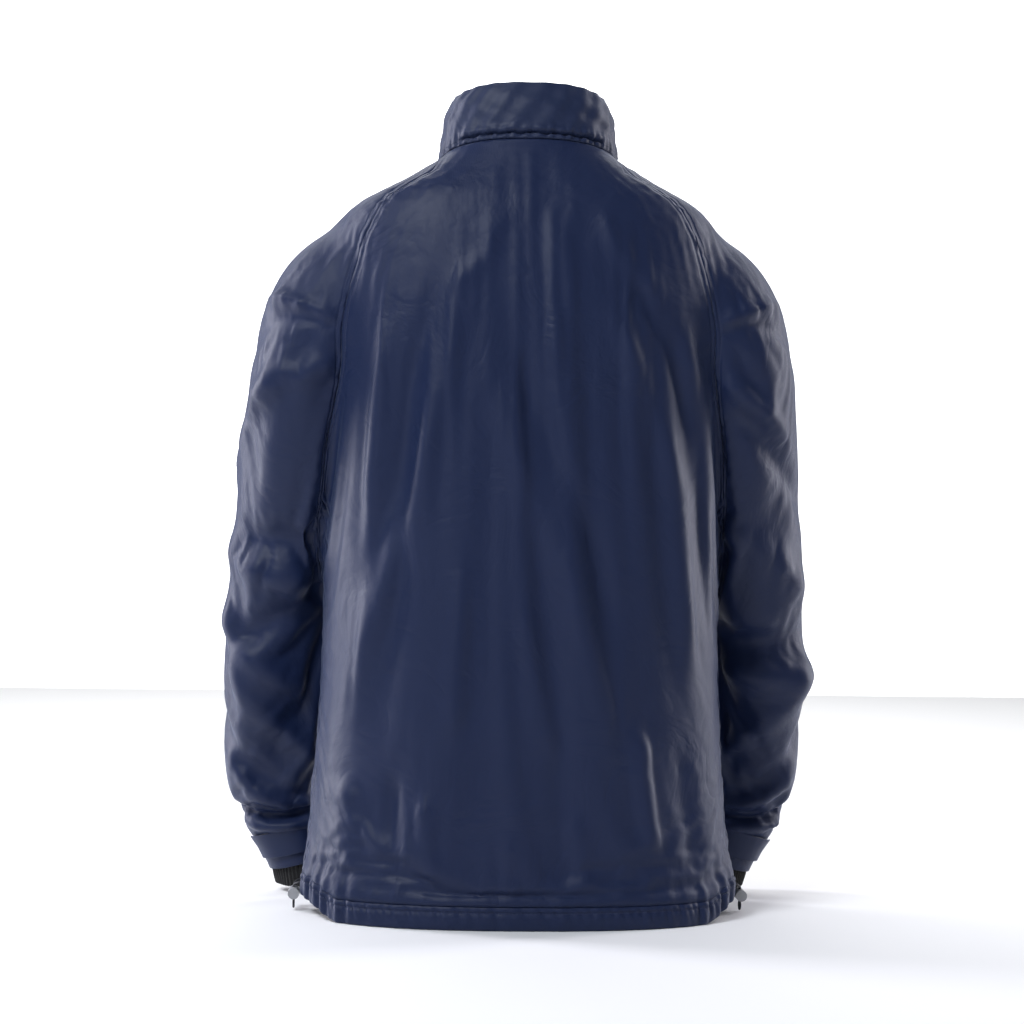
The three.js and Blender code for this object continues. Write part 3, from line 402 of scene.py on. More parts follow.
def fusedShape(name, bodyInset, armInset, voxel, smoothing):
    # Body and both sleeves as closed lofts, fused by a voxel remesh and smoothed where they meet.
    v = np.linspace(0, 1, 150)[:, None]
    angle = np.linspace(0, 2 * np.pi, 200, endpoint=False)[None, :]
    grid = bodyPoint(v + 0 * angle, angle + 0 * v)
    flat = (grid - np.array([0, originShift, 0])) * np.array([1, 1, 0])
    grid = grid - flat / np.linalg.norm(flat, axis=-1, keepdims=True) * (bodyInset(angle) + 0 * v)[..., None]
    longer = np.array([0, 0, 0.016])
    torso = closedLoft(name, np.concatenate([(grid[0] - longer)[None], grid, (grid[-1] + longer)[None]]))
    t = np.linspace(0, 1, 130)[:, None]
    angle = np.linspace(0, 2 * np.pi, 110, endpoint=False)[None, :]
    arm = sleevePoint(t + 0 * angle, angle + 0 * t, -armInset)
    arm = np.concatenate([arm, (arm[-1] + sleeveFrame(np.array(1.0))[1] * 0.012)[None]])
    fused = joinObjects([torso, closedLoft(name + "R", arm),
                         closedLoft(name + "L", arm * np.array([-1, 1, 1]))])
    remesh = fused.modifiers.new("fuse", "REMESH")
    remesh.mode = "VOXEL"
    remesh.voxel_size = voxel
    applied(fused)
    soften = fused.modifiers.new("soften", "SMOOTH")
    soften.factor = 0.5
    soften.iterations = smoothing
    return applied(fused)


seamLine = np.array([  # the raglan seam from the neck to the armpit: x, z
    (body["neckHalf"] - 0.007, body["neckHeight"] + 0.060),
                     (body["neckHalf"] - 0.007, body["neckHeight"] + 0.010),
    (0.097, 0.721), (0.130, 0.701), (0.147, 0.685), (0.163, 0.660), (0.178, 0.606), (0.187, 0.567),
                     (0.190, 0.540)])


def raglanField(p):
    # Above zero on the sleeves: past the raglan line above the armpit, and nearer the arm's tube than the
    # body below.
    line = np.interp(p[:, 2], seamLine[::-1, 1], seamLine[::-1, 0])
    line = line - 0.018 * smoothStep(-0.02, 0.05, p[:, 1] - originShift) * smoothStep(0.690, 0.580, p[:, 2])
    above = np.abs(p[:, 0]) - line
    below = torsoGap(p)[0] - armPlace(p)[2]
    share = smoothStep(0.510, 0.600, p[:, 2])
    return above * share + below * (1 - share)


def besideSeam(p):
    # True on the body below the arms, where a side seam joins the back to a front.
    return (raglanField(p) < 0.004) & (p[:, 2] < 0.60)


def zipField(p):
    # How far each point in front lies from the zip's opening.
    return np.where(p[:, 1] > 0, np.abs(p[:, 0]) - body["zipGapHalf"], 1.0)


def hemField(p):
    half = np.minimum(np.abs(p[:, 0]) / body["hemHalf"], 1) ** (body["roundness"] / 2)
    edge = body["hemBand"] + body["seamGap"] + body["hemLift"] * smoothStep(0.8, 1, half)
    return np.where(raglanField(p) > 0, 1.0, p[:, 2] - edge)


def neckField(p):
    y = p[:, 1] - originShift
    depth = np.where(y > 0, frontAt(p[:, 2]), body["neckBack"])
    s = np.sign(y) * np.minimum(np.abs(y) / depth, 1) ** (body["roundness"] / 2)
    return np.where(np.abs(p[:, 0]) < 0.12, body["neckHeight"] - body["neckTilt"] * s - p[:, 2], 1.0)


def cuffField(p):
    middle, along = sleeveFrame(np.array(1.0))[:2]
    q = np.column_stack([np.abs(p[:, 0]), p[:, 1:]]) - middle
    return np.where((np.linalg.norm(q, axis=1) < 0.095) & (raglanField(p) > 0), -(q @ along), 1.0)


def pocketField(p):
    # Below zero inside the slot of either pocket's zip.
    place = pocketPlace(p)
    return np.maximum(np.abs(place[:, 0]) - 0.0065, np.abs(place[:, 2]) - 0.078) + np.where(p[:, 1] > 0, 0,
                                                                                            1.0)


pocketAxis = {  # the right pocket's zip: its middle, across and along directions
    "middle": (np.array(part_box("pocket_zip_teeth_right")[0]) + np.array(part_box("pocket_zip_teeth_right")[1])) / 2,
    "across": np.array([0.941, -0.302, 0.149]), "along": np.array([-0.155, 0.004, 0.988]),
}


def pocketPlace(p):
    # Each point in the pocket zip's own directions: across it, out of it and along it.
    q = np.column_stack([np.abs(p[:, 0]), p[:, 1:]]) - pocketAxis["middle"]
    out = np.cross(pocketAxis["along"], pocketAxis["across"])
    return np.column_stack([q @ pocketAxis["across"], q @ out, q @ pocketAxis["along"]])


def cutAlong(work, field, near=0.24):
    # Splits the faces along the line where the field is zero. Points close to the line are moved onto it.
    work.verts.ensure_lookup_table()
    work.verts.index_update()
    f = field(np.array([v.co for v in work.verts]))
    moves = {}
    for edge in work.edges:
        a, b = edge.verts
        if f[a.index] * f[b.index] < 0:
            share = f[a.index] / (f[a.index] - f[b.index])
            for v, w, t in ((a, b, share), (b, a, 1 - share)):
                if t < near and t < moves.get(v.index, (1,))[0]:
                    moves[v.index] = (t, v.co.lerp(w.co, t))
    for i, (t, place) in moves.items():
        work.verts[i].co = place
        f[i] = 0
    onLine = [work.verts[i] for i in moves]
    for edge in list(work.edges):
        a, b = edge.verts
        if a.index >= 0 and b.index >= 0 and f[a.index] * f[b.index] < 0:
            share = f[a.index] / (f[a.index] - f[b.index])
            made = bmesh.utils.edge_split(edge, a, share)[1]
            made.index = -1
            onLine.append(made)
    onLine += [work.verts[i] for i in np.nonzero(f == 0)[0] if i not in moves]
    bmesh.ops.connect_verts(work, verts=list(set(onLine)))
    work.verts.index_update()


def faceCentres(work):
    return np.array([f.calc_center_median() for f in work.faces])


def dropFaces(work, keep):
    gone = [f for f, stays in zip(work.faces, keep) if not stays]
    bmesh.ops.delete(work, geom=gone, context="FACES")


clothCut = {"voxel": 0.0068, "smoothing": 6, "bodyInset": 0.012, "frontInset": 0.005, "armInset": 0.010}
shell = fusedShape("shell", lambda a: 0 * a, 0.0, clothCut["voxel"], clothCut["smoothing"])
p = points(shell)
bodyGap = torsoGap(p)[0]
armGap = armPlace(p)[2]
print("shell fused:", len(p), "points")
normals = vertexNormals(shell)
apart = smoothStep(0.010, 0.030, np.abs(bodyGap - armGap)) * (p[:, 2] > 0.03) * (p[:, 2] < 0.70)
gapNow = np.where(bodyGap < armGap, bodyGap, armGap)
setPoints(shell, p - normals * (apart * np.clip(gapNow, -0.003, 0.003))[:, None])

with edited(shell.data) as work:
    for field in (hemField, neckField, cuffField):
        cutAlong(work, field)
        dropFaces(work, field(faceCentres(work)) > 0)
    cutAlong(work, zipField)
    centre = faceCentres(work)
    dropFaces(work, (centre[:, 1] < 0) | (np.abs(centre[:, 0]) > body["zipGapHalf"]))
    cutAlong(work, raglanField)
    cutAlong(work, lambda q: np.where(besideSeam(q), q[:, 1] - originShift, 1.0))
    cutAlong(work, pocketField)
    dropFaces(work, pocketField(faceCentres(work)) > 0)
p = points(shell)
ring = np.nonzero(np.abs(neckField(p)) < 1e-4)[0]
y = p[ring, 1] - originShift
depth = np.where(y > 0, frontAt(p[ring, 2]), body["neckBack"])
angle = np.arctan2(np.sign(y) * (np.abs(y) / depth) ** (body["roundness"] / 2),
                   np.sign(p[ring, 0]) * (np.abs(p[ring, 0]) / body["neckHalf"]) ** (body["roundness"] / 2))
move = bodyPoint(1 + 0 * angle, angle) - p[ring]
near = np.nonzero((p[:, 2] > body["neckHeight"] - 0.06) & (np.abs(p[:, 0]) < 0.13))[0]
away = np.linalg.norm(p[near][:, None, :] - p[ring][None, :, :], axis=2)
closest = np.argmin(away, axis=1)
p[near] += move[closest] * smoothStep(0.024, 0.0, away.min(axis=1))[:, None]
setPoints(shell, p)
print("shell cut:", len(shell.data.vertices), "points", len(shell.data.polygons), "faces")

# Folds of the cloth: seeded as shallow ridges, then grown by a cloth simulation
backFolds = [  # line of each fold down the back as x, z points; half width; height, below zero for a valley
    ([(-0.060, 0.655), (-0.078, 0.560), (-0.112, 0.400), (-0.160, 0.265), (-0.186, 0.170)], 0.011, 0.0050),
    ([(-0.085, 0.640), (-0.118, 0.520), (-0.128, 0.420), (-0.172, 0.300)], 0.010, -0.0045),
    ([(-0.135, 0.600), (-0.150, 0.480), (-0.158, 0.380)], 0.010, 0.0040),
    ([(-0.058, 0.610), (-0.028, 0.480), (0.038, 0.340), (0.075, 0.220), (0.105, 0.090)], 0.013, 0.0048),
    ([(-0.035, 0.620), (0.000, 0.500), (0.062, 0.370), (0.096, 0.240)], 0.011, -0.0045),
    ([(0.050, 0.625), (0.105, 0.540), (0.148, 0.420), (0.158, 0.300), (0.160, 0.200)], 0.011, 0.0048),
    ([(0.085, 0.640), (0.135, 0.560), (0.168, 0.450)], 0.009, -0.0040),
    ([(0.140, 0.600), (0.165, 0.520), (0.178, 0.420), (0.180, 0.300)], 0.009, 0.0040),
    ([(0.020, 0.690), (0.030, 0.600), (0.022, 0.520)], 0.012, 0.0028),
    ([(-0.030, 0.695), (-0.045, 0.640), (-0.090, 0.600)], 0.009, 0.0030),
    ([(0.062, 0.690), (0.085, 0.640), (0.135, 0.600)], 0.009, 0.0030),
    ([(0.108, 0.210), (0.118, 0.130), (0.126, 0.060)], 0.012, 0.0055),
    ([(0.150, 0.190), (0.160, 0.110), (0.168, 0.050)], 0.009, -0.0045),
    ([(-0.176, 0.150), (-0.172, 0.090), (-0.166, 0.045)], 0.011, 0.0050),
    ([(-0.130, 0.160), (-0.128, 0.090), (-0.122, 0.040)], 0.009, -0.0040),
    ([(-0.100, 0.140), (-0.092, 0.080), (-0.084, 0.035)], 0.008, 0.0032),
    ([(-0.020, 0.100), (-0.016, 0.065), (-0.012, 0.030)], 0.008, 0.0030),
    ([(0.045, 0.120), (0.052, 0.070), (0.056, 0.030)], 0.008, 0.0030),
    ([(-0.012, 0.330), (0.010, 0.240), (0.030, 0.150)], 0.010, 0.0030),
    ([(-0.060, 0.360), (-0.070, 0.260), (-0.074, 0.170)], 0.012, 0.0032),
]
# share along the sleeve, angle at the middle, turn of the fold along the arm, half width, height
armFolds = {
    "left": [(0.18, -1.3, 0.55, 0.008, 0.0050), (0.23, -0.9, 0.75, 0.008, -0.0045),
             (0.28, -1.5, 0.60, 0.008, 0.0045),
             (0.36, -0.4, 0.9, 0.009, 0.0045), (0.47, -1.5, 0.10, 0.009, -0.0060),
             (0.50, -1.1, -0.10, 0.009, 0.0060),
             (0.54, -1.6, 0.30, 0.008, -0.0055), (0.58, -1.2, -0.35, 0.009, 0.0055),
             (0.64, -1.6, -0.60, 0.010, 0.0060),
             (0.68, -0.9, -0.55, 0.009, -0.0050), (0.74, -1.5, -0.70, 0.011, 0.0060),
             (0.80, -1.1, -0.55, 0.010, -0.0050),
             (0.86, -1.7, -0.45, 0.010, 0.0055), (0.92, -1.2, -0.20, 0.009, -0.0050)],
    "right": [(0.17, -1.4, 0.55, 0.008, 0.0050), (0.22, -1.0, 0.80, 0.008, -0.0045),
              (0.30, -1.6, 0.75, 0.009, 0.0050),
              (0.38, -1.0, 0.80, 0.009, -0.0050), (0.48, -1.4, 0.45, 0.010, 0.0050),
              (0.56, -1.6, -0.02, 0.009, -0.0065),
              (0.59, -1.2, 0.05, 0.009, 0.0060), (0.64, -1.6, -0.50, 0.010, 0.0060),
              (0.69, -1.1, -0.60, 0.009, -0.0050),
              (0.74, -1.6, -0.65, 0.011, 0.0060), (0.80, -1.2, -0.60, 0.010, -0.0055),
              (0.85, -1.6, -0.50, 0.010, 0.0055),
              (0.92, -1.2, -0.10, 0.009, -0.0050)],
}


def ridge(across, along, halfWidth, soften=0.25):
    # A fold's height: a bell across it, fading out at both ends.
    return np.exp(-(across / halfWidth) ** 2) * smoothStep(0, soften, along) * smoothStep(0, soften,
                                                                                          1 - along)


def foldHeight(p):
    # The seeded folds, as a height along the normal at each point.
    height = np.zeros(len(p))
    behind = smoothStep(-0.010, -0.045, p[:, 1] - originShift) * (raglanField(p) < 0.006)
    for line, halfWidth, tall in backFolds:
        line = np.array(line)
        lengths = np.concatenate([[0], np.cumsum(np.hypot(*np.diff(line, axis=0).T))])
        best = np.full(len(p), 9.0)
        place = np.zeros(len(p))
        for i in range(len(line) - 1):
            d = line[i + 1] - line[i]
            t = np.clip(((p[:, 0] - line[i, 0]) * d[0] + (p[:, 2] - line[i, 1]) * d[1]) / (d @ d), 0, 1)
            off = np.hypot(p[:, 0] - line[i, 0] - t * d[0], p[:, 2] - line[i, 1] - t * d[1])
            closer = off < best
            best = np.where(closer, off, best)
            place = np.where(closer, (lengths[i] + t * (lengths[i + 1] - lengths[i])) / lengths[-1], place)
        height += behind * tall * ridge(best, place, halfWidth)
    share, angle = armPlace(p)[:2]
    onArm = smoothStep(0.002, 0.012, raglanField(p)) * (share > 0.08)
    for side, folds in armFolds.items():
        here = onArm * ((p[:, 0] > 0) == (side == "right"))
        for middle, middleAngle, turn, halfWidth, tall in folds:
            swing = (angle - middleAngle + np.pi) % (2 * np.pi) - np.pi
            along = (share - middle) * 0.62
            around = swing * 0.052
            across = along * np.cos(turn) - around * np.sin(turn)
            travel = along * np.sin(turn) + around * np.cos(turn)
            height += here * tall * ridge(across, 0.5 + travel / 0.16, halfWidth)
    return height


def looserShape(p):
    # The cloth before it was put on: wider round the body, and longer and a little wider along the arms.
    arm = smoothStep(-0.010, 0.030, raglanField(p))
    out = p.copy()
    out[:, 0] *= 1 + cloth["extraWidth"] * smoothStep(0.72, 0.60, p[:, 2])
    out[:, 1] += (p[:, 1] - originShift) * cloth["extraWidth"] * (1 - arm) * smoothStep(0.72, 0.60, p[:, 2])
    out[:, 2] -= np.clip(0.60 - p[:, 2], 0, 1) * (cloth["extraArm"] * arm)
    return out


cloth = {"extraWidth": 0.075, "extraArm": 0.12, "frames": 26, "quality": 6, "mass": 0.12,
         "stretch": 18, "shear": 6, "bend": 0.25, "air": 2.0, "hold": 0.016}


def simulateShell(shell, mannequin):
    # Lets the loose cloth settle over the mannequin, held at its hems, neck, cuffs and zips.
    p = points(shell)
    shell.shape_key_add(name="Basis")
    loose = shell.shape_key_add(name="loose")
    loose.data.foreach_set("co", looserShape(p).ravel())
    loose.value = 0
    held = np.min([np.abs(hemField(p)), np.abs(neckField(p)), np.abs(cuffField(p)), zipField(p),
                   np.maximum(pocketField(p), 0)], axis=0)
    weight = np.maximum(1 - smoothStep(0.003, cloth["hold"], held),
                        1 - smoothStep(0.044, 0.056, cuffField(p)))
    group = shell.vertex_groups.new(name="held")
    for level in np.unique(np.round(weight, 2)):
        if level > 0:
            group.add(np.nonzero(np.round(weight, 2) == level)[0].tolist(), float(level), "REPLACE")
    mannequin.modifiers.new("collide", "COLLISION")
    mannequin.collision.thickness_outer = 0.002
    mannequin.collision.cloth_friction = 8
    sim = shell.modifiers.new("cloth", "CLOTH")
    s = sim.settings
    s.quality = cloth["quality"]
    s.mass = cloth["mass"]
    s.tension_stiffness = s.compression_stiffness = cloth["stretch"]
    s.shear_stiffness = cloth["shear"]
    s.bending_stiffness = cloth["bend"]
    s.air_damping = cloth["air"]
    s.vertex_group_mass = "held"
    s.pin_stiffness = 1
    s.rest_shape_key = loose
    sim.collision_settings.distance_min = 0.002
    sim.collision_settings.collision_quality = 2
    sim.collision_settings.use_self_collision = False
    sim.point_cache.frame_start = 1
    sim.point_cache.frame_end = cloth["frames"]
    for f in range(1, cloth["frames"] + 1):
        scene.frame_set(f)
    settled = bpy.data.meshes.new_from_object(shell.evaluated_get(bpy.context.evaluated_depsgraph_get()))
    values = np.empty(len(settled.vertices) * 3)
    settled.vertices.foreach_get("co", values)
    shell.modifiers.clear()
    shell.shape_key_clear()
    shell.vertex_groups.clear()
    scene.frame_set(1)
    bpy.data.meshes.remove(settled)
    setPoints(shell, values)


recalcNormals(shell)
p = points(shell)
restPlace = p.copy()
setPoints(shell, p + vertexNormals(shell) * foldHeight(p)[:, None])
mannequin = fusedShape("mannequin", lambda a: np.where(np.sin(a) > 0, clothCut["frontInset"],
                                                       clothCut["bodyInset"]),
                       clothCut["armInset"], 0.010, 4)
simulateShell(shell, mannequin)
bpy.data.objects.remove(mannequin)
print("cloth settled")

# Finishing the simulated cloth: folds, puckered seams and the gathered hem
def seamDistance(p):
    # How far each point lies from its nearest seam: the raglan seams, and the side seams below the arms.
    side = np.where(besideSeam(p), np.abs(p[:, 1] - originShift), 1.0)
    return np.minimum(np.abs(raglanField(p)), side)


def gathers(angle):
    # Small radial waves of the gathered hem, deepest at the side corners.
    amount = 0.22 + 0.78 * smoothStep(0.62, 0.93, np.abs(np.cos(angle)))
    waves = np.sin(angle * 47 + 0.7) + 0.7 * np.sin(angle * 78 + 2.1) + 0.4 * np.sin(angle * 29)
    return 0.0017 * amount * waves


def finishShell(settled):
    q = restPlace
    height = 0.85 * foldHeight(q)
    run = np.abs(q[:, 0]) - q[:, 2]
    near = seamDistance(q)
    wave = np.sin(run * 2 * np.pi / 0.017 + 1.7 * np.sin(run * 41)) + 0.5 * np.sin(run * 2 * np.pi / 0.0105)
    patchy = 0.4 + 0.6 * np.sin(run * 19 + np.sign(q[:, 0])) ** 2
    height += 0.0013 * wave * patchy * np.exp(-(near / 0.013) ** 2) * smoothStep(0, 0.002, near)
    height -= 0.0004 * np.exp(-(near / 0.0035) ** 2)
    angle = torsoGap(q)[1]
    level = hemField(q)
    hem = np.where(level < 0.5, np.exp(-(np.maximum(level, 0) / 0.030) ** 2), 0)
    height += hem * gathers(angle)
    holdZip = smoothStep(0, 0.012, zipField(q))
    holdNeck = smoothStep(0, 0.010, neckField(q))
    return settled + vertexNormals(shell) * (height * holdZip * holdNeck)[:, None]


def takePiece(name, mask, thickness=0.0006):
    # One pattern piece out of the shell, as its own finer mesh with a cloth's thickness.
    mesh = shell.data.copy()
    with edited(mesh) as work:
        dropFaces(work, mask)
        loose = [v for v in work.verts if not v.link_faces]
        bmesh.ops.delete(work, geom=loose, context="VERTS")
    mesh.shade_smooth()
    piece = bpy.data.objects.new(name, mesh)
    scene.collection.objects.link(piece)
    finer = piece.modifiers.new("finer", "SUBSURF")
    finer.levels = finer.render_levels = 1
    thicken(piece, thickness)
    return piece


def addField(obj, name, values):
    kind = "FLOAT_VECTOR" if np.ndim(values) == 2 else "FLOAT"
    attribute = obj.data.attributes.new(name, kind, "POINT")
    attribute.data.foreach_set("vector" if kind == "FLOAT_VECTOR" else "value",
                               np.ascontiguousarray(values, np.float32).ravel())


recalcNormals(shell)
setPoints(shell, finishShell(points(shell)))
addField(shell, "cloth", restPlace)
addField(shell, "seam", np.clip(seamDistance(restPlace), 0, 0.2))
work = bmesh.new()
work.from_mesh(shell.data)
where = work.verts.layers.float_vector["cloth"]
centre = np.array([np.mean([v[where] for v in f.verts], axis=0) for f in work.faces])
work.free()
onSleeve = raglanField(centre) > 0
behind = centre[:, 1] < originShift
onRight = centre[:, 0] > 0
backPanel = takePiece("backPanel", ~onSleeve & behind)
fronts = {"right": takePiece("frontRight", ~onSleeve & ~behind & onRight),
          "left": takePiece("frontLeft", ~onSleeve & ~behind & ~onRight)}
sleeves = {"right": takePiece("sleeveRight", onSleeve & onRight),
           "left": takePiece("sleeveLeft", onSleeve & ~onRight)}
bpy.data.objects.remove(shell)
print("shell pieces:", {o.name: len(o.data.polygons) for o in (backPanel, *fronts.values(),
                                                               *sleeves.values())})


# Sheets, strips and tubes made from formulas


def pushedPoint(surface, row, angle, distance):
    # A point of a surface moved out along its normal, which is the around direction crossed with the up one.
    step = 1e-3
    up = surface(row + step, angle) - surface(row - step, angle)
    around = surface(row, angle + step) - surface(row, angle - step)
    normal = np.cross(around, up)
    normal /= np.linalg.norm(normal, axis=-1, keepdims=True)
    return surface(row, angle) + normal * np.asarray(distance)[..., None]


def collarPoint(w, angle):
    foot = body["neckHeight"] - body["neckTilt"] * np.sin(angle) + body["seamGap"]
    sideFall = body["collarSideDrop"] * np.abs(np.cos(angle)) ** 3
    top = body["neckHeight"] + body["collarHeight"] - body["collarDrop"] * np.sin(angle) - sideFall
    turnIn = body["collarRound"] * np.maximum(0, (w - 0.6) / 0.4) ** 2
    half = body["neckHalf"] + (body["collarHalf"] - body["neckHalf"]) * w - turnIn
    back = body["neckBack"] + (body["collarBack"] - body["neckBack"]) * w
    return ovalPoint(half, back, angle, foot + (top - foot) * w)


def hemPoint(height, angle):
    return ovalPoint(body["hemHalf"], body["hemBack"], angle, height + sideLift(angle))


zipLean = math.atan(body["frontLean"])
zipFrame = {"middle": np.array([0, body["frontDepth"] - 0.00325 / math.cos(zipLean) + originShift, 0]),
            "across": np.array([1.0, 0, 0]), "out": np.array([0, math.cos(zipLean), math.sin(zipLean)]),
            "along": np.array([0, -math.sin(zipLean), math.cos(zipLean)])}


def pocketFrame(side):
    flip = np.array([side, 1, 1])
    out = np.cross(pocketAxis["along"], pocketAxis["across"])
    return {"middle": pocketAxis["middle"] * flip, "across": pocketAxis["across"] * flip * side,
            "out": out * flip, "along": pocketAxis["along"] * flip}


def inFrame(place, x, y, z):
    x, y, z = (np.asarray(k, float)[..., None] for k in (x, y, z))
    return place["middle"] + place["across"] * x + place["out"] * y + place["along"] * z


# Collar, with the hood packed inside it
collar = {"slit": 0.105, "slitHalf": 0.020, "slitDepth": 0.0034, "slitReach": math.radians(52),
          "bulge": 0.0030,
          "roll": 0.0022, "columns": 220}


def frontRing(count, gapHalf, half=body["collarHalf"]):
    # Angles round the neck from one front edge, past the back, to the other.
    off = math.asin((gapHalf / half) ** (body["roundness"] / 2))
    return np.linspace(-1.5 * np.pi + off, 0.5 * np.pi - off, count)


def hoodRoom(angle):
    return 0.015 * smoothStep(-0.25, 0.35, -np.sin(angle))


def facingInset(w, angle):
    w = np.clip(w, 0, 1)
    return -(0.003 + 0.004 * np.sin(np.pi * w) + hoodRoom(angle) * np.sqrt(np.maximum(np.sin(np.pi * w), 0)))


def collarOut(w, angle):
    # How far the outer collar stands out: a bulge over the hood, soft creases, and the hood slit's lips.
    behind = smoothStep(0.1, 0.7, -np.sin(angle))
    out = collar["bulge"] * np.sin(np.pi * np.clip(w, 0, 1)) ** 0.7 * (0.35 + 0.65 * behind)
    out += 0.0007 * np.sin(angle * 9 + 14 * w) * np.sin(np.pi * w) + 0.0005 * np.sin(angle * 23 - 9 * w)
    puckers = np.sin(angle * 61) + 0.6 * np.sin(angle * 97 + 1)
    out += 0.0008 * puckers * np.exp(-((w - 0.13) / 0.11) ** 2)
    inSlit = smoothStep(collar["slitReach"], collar["slitReach"] - 0.12, np.abs(angle + np.pi / 2))
    place = w + 0.010 * np.sin(angle * 33) * inSlit
    out -= collar["slitDepth"] * inSlit * np.exp(-((place - collar["slit"]) / collar["slitHalf"]) ** 2)
    out += 0.0014 * inSlit * np.exp(-((place - collar["slit"] - 0.075) / 0.045) ** 2)
    seam = 0.0007 * np.exp(-((w - 0.055) / 0.02) ** 2) * puckers
    return out + seam - 0.0012 * smoothStep(0.03, 0.0, w)


def collarSheet(name, angles, rows):
    w = np.asarray(rows)[:, None] + 0 * angles[None, :]
    a = angles[None, :] + 0 * w
    grid = pushedPoint(collarPoint, np.clip(w, 0, 0.995), a, collarOut(w, a))
    turn = np.linspace(0, np.pi, 9)[1:, None] + 0 * angles[None, :]
    a = angles[None, :] + 0 * turn
    top = pushedPoint(collarPoint, 0.995 + 0 * turn, a,
                      collarOut(w[-1:], a) - collar["roll"] * (1 - np.cos(turn)))
    top[..., 2] += collar["roll"] * np.sin(turn)
    down = pushedPoint(collarPoint, np.linspace(0.985, 0.93, 4)[:, None] + 0 * angles[None, :],
                       angles[None, :] + 0 * np.ones((4, 1)), -2 * collar["roll"] + 0 * a[:4])
    return gridObject(name, np.concatenate([grid, top, down]), thickness=0.0009, uv=(0.50, 0.075))


rows = np.concatenate([np.linspace(0, 0.08, 5), np.linspace(0.09, 0.17, 18), np.linspace(0.19, 0.995, 26)])
collarShell = collarSheet("collarShell", frontRing(collar["columns"], 0.0072), rows)
angles = frontRing(150, 0.0215)
w = np.linspace(0.02, 0.985, 26)[:, None]
a = angles[None, :] + 0 * w
ripple = 0.0006 * np.sin(a * 21 + 5 * w) * np.sin(np.pi * w)
collarFacing = gridObject("collarFacing", pushedPoint(collarPoint, w + 0 * a, a, facingInset(w, a) + ripple),
                          thickness=0.0007, uv=(0.46, 0.075))

turn = np.linspace(0, 2 * np.pi, 28, endpoint=False)[None, :]
reach = np.linspace(-math.radians(65), math.radians(65), 90)
narrow = np.sqrt(np.clip(1 - (np.abs(reach) / math.radians(66)) ** 6, 0.002, 1))[:, None]
a = (reach - np.pi / 2)[:, None] + 0 * turn
w = 0.51 + 0.285 * np.sin(turn) * narrow
near, far = -0.0030, facingInset(w, a) + 0.0026
squarish = squared(np.cos(turn), 0.6)
crumple = 0.0005 * np.sin(a * 37 + 3 * np.sin(turn * 2)) + 0.0004 * np.sin(a * 71 + turn * 3)
depth = (near + far) / 2 + ((near - far) / 2 - 0.0010) * squarish * narrow + crumple * narrow
stowedHood = gridObject("stowedHood", pushedPoint(collarPoint, w, a, depth), closed=True, uv=(0.07, 0.2))
closeEnds(stowedHood)


def collarStrip(name, low, high, reach, inset, thick, rows=6, columns=90):
    w = np.linspace(low, high, rows)[:, None]
    a = np.linspace(-np.pi / 2 - reach, -np.pi / 2 + reach, columns)[None, :]
    grid = pushedPoint(collarPoint, w + 0 * a, a + 0 * w, inset(w + 0 * a, a + 0 * w))
    return gridObject(name, grid, thickness=thick, uv=(0.15, 0.01))


tapeReach = collar["slitReach"] - 0.08
loopTape = collarStrip("slitLoopTape", 0.162, 0.186, tapeReach, lambda w, a: -0.0045 + 0 * w, 0.0008)
hookTape = collarStrip("slitHookTape", 0.041, 0.088, tapeReach, lambda w, a: -0.0030 + 0 * w, 0.0008)
neckTape = collarStrip("neckTape", 0.025, 0.148, math.radians(53),
                       lambda w, a: facingInset(w, a) - 0.0016 + 0.0002 * np.sin(a * 60), 0.0008)
print("collar done")

# Lining, hanging loop and label
v = np.linspace(0.072, 0.968, 66)[:, None]
liningAngles = np.linspace(-1.5 * np.pi + 0.13, 0.5 * np.pi - 0.13, 170)[None, :]
a = liningAngles + 0 * v
ripple = 0.0022 * np.sin(a * 13 + 3 * np.sin(v * 9)) + 0.0012 * np.sin(a * 29 + v * 21)
ripple = ripple * smoothStep(0, 0.1, v - 0.072)
grid = pushedPoint(bodyPoint, v + 0 * a, a, -0.0178 + ripple * 0.5)
lining = gridObject("bodyLining", grid, uv=(1.1, 0.62))


def openArm(q):
    # Above zero where the lining is cut away for an arm.
    return np.where(q[:, 2] > shoulderHeight - 0.175, raglanField(q) + 0.001, -armPlace(q)[2] - 0.004)


with edited(lining.data) as work:
    cutAlong(work, openArm)
    dropFaces(work, openArm(faceCentres(work)) < 0)
thicken(lining, 0.0007)

backNeck = collarPoint(np.array(0.0), np.array(-np.pi / 2))
loopY = backNeck[1] + 0.003 - float(facingInset(0.02, -np.pi / 2)) + 0.006
loopPath = smoothPath([(x, loopY + y, backNeck[2] + z) for x, y, z in (
    (-0.024, 0, -0.006), (-0.020, 0.001, -0.016), (-0.008, 0.002, -0.024), (0.008, 0.002, -0.024),
    (0.020, 0.001, -0.016), (0.024, 0, -0.006))], 60)
turn = np.linspace(0, 2 * np.pi, 12, endpoint=False)
side = np.gradient(loopPath, axis=0)
side /= np.linalg.norm(side, axis=1, keepdims=True)
flatWays = np.cross(side, [0, 1.0, 0])
rings = (loopPath[:, None, :] + 0.0024 * np.cos(turn)[None, :, None] * flatWays[:, None, :]
         + 0.0009 * np.sin(turn)[None, :, None] * np.array([0, 1.0, 0]))
hangingLoop = capped("hangingLoop", rings, uv=(0.006, 0.1))
x, z = np.meshgrid(np.linspace(-0.014, 0.014, 16), np.linspace(backNeck[2] - 0.030, backNeck[2] - 0.008, 14))
sizeLabel = gridObject("sizeLabel", np.stack([x, loopY + 0.0054 + 0.0004 * np.sin(x * 160 + z * 90), z], -1),
                       thickness=0.0004, uv=(0.028, 0.022))

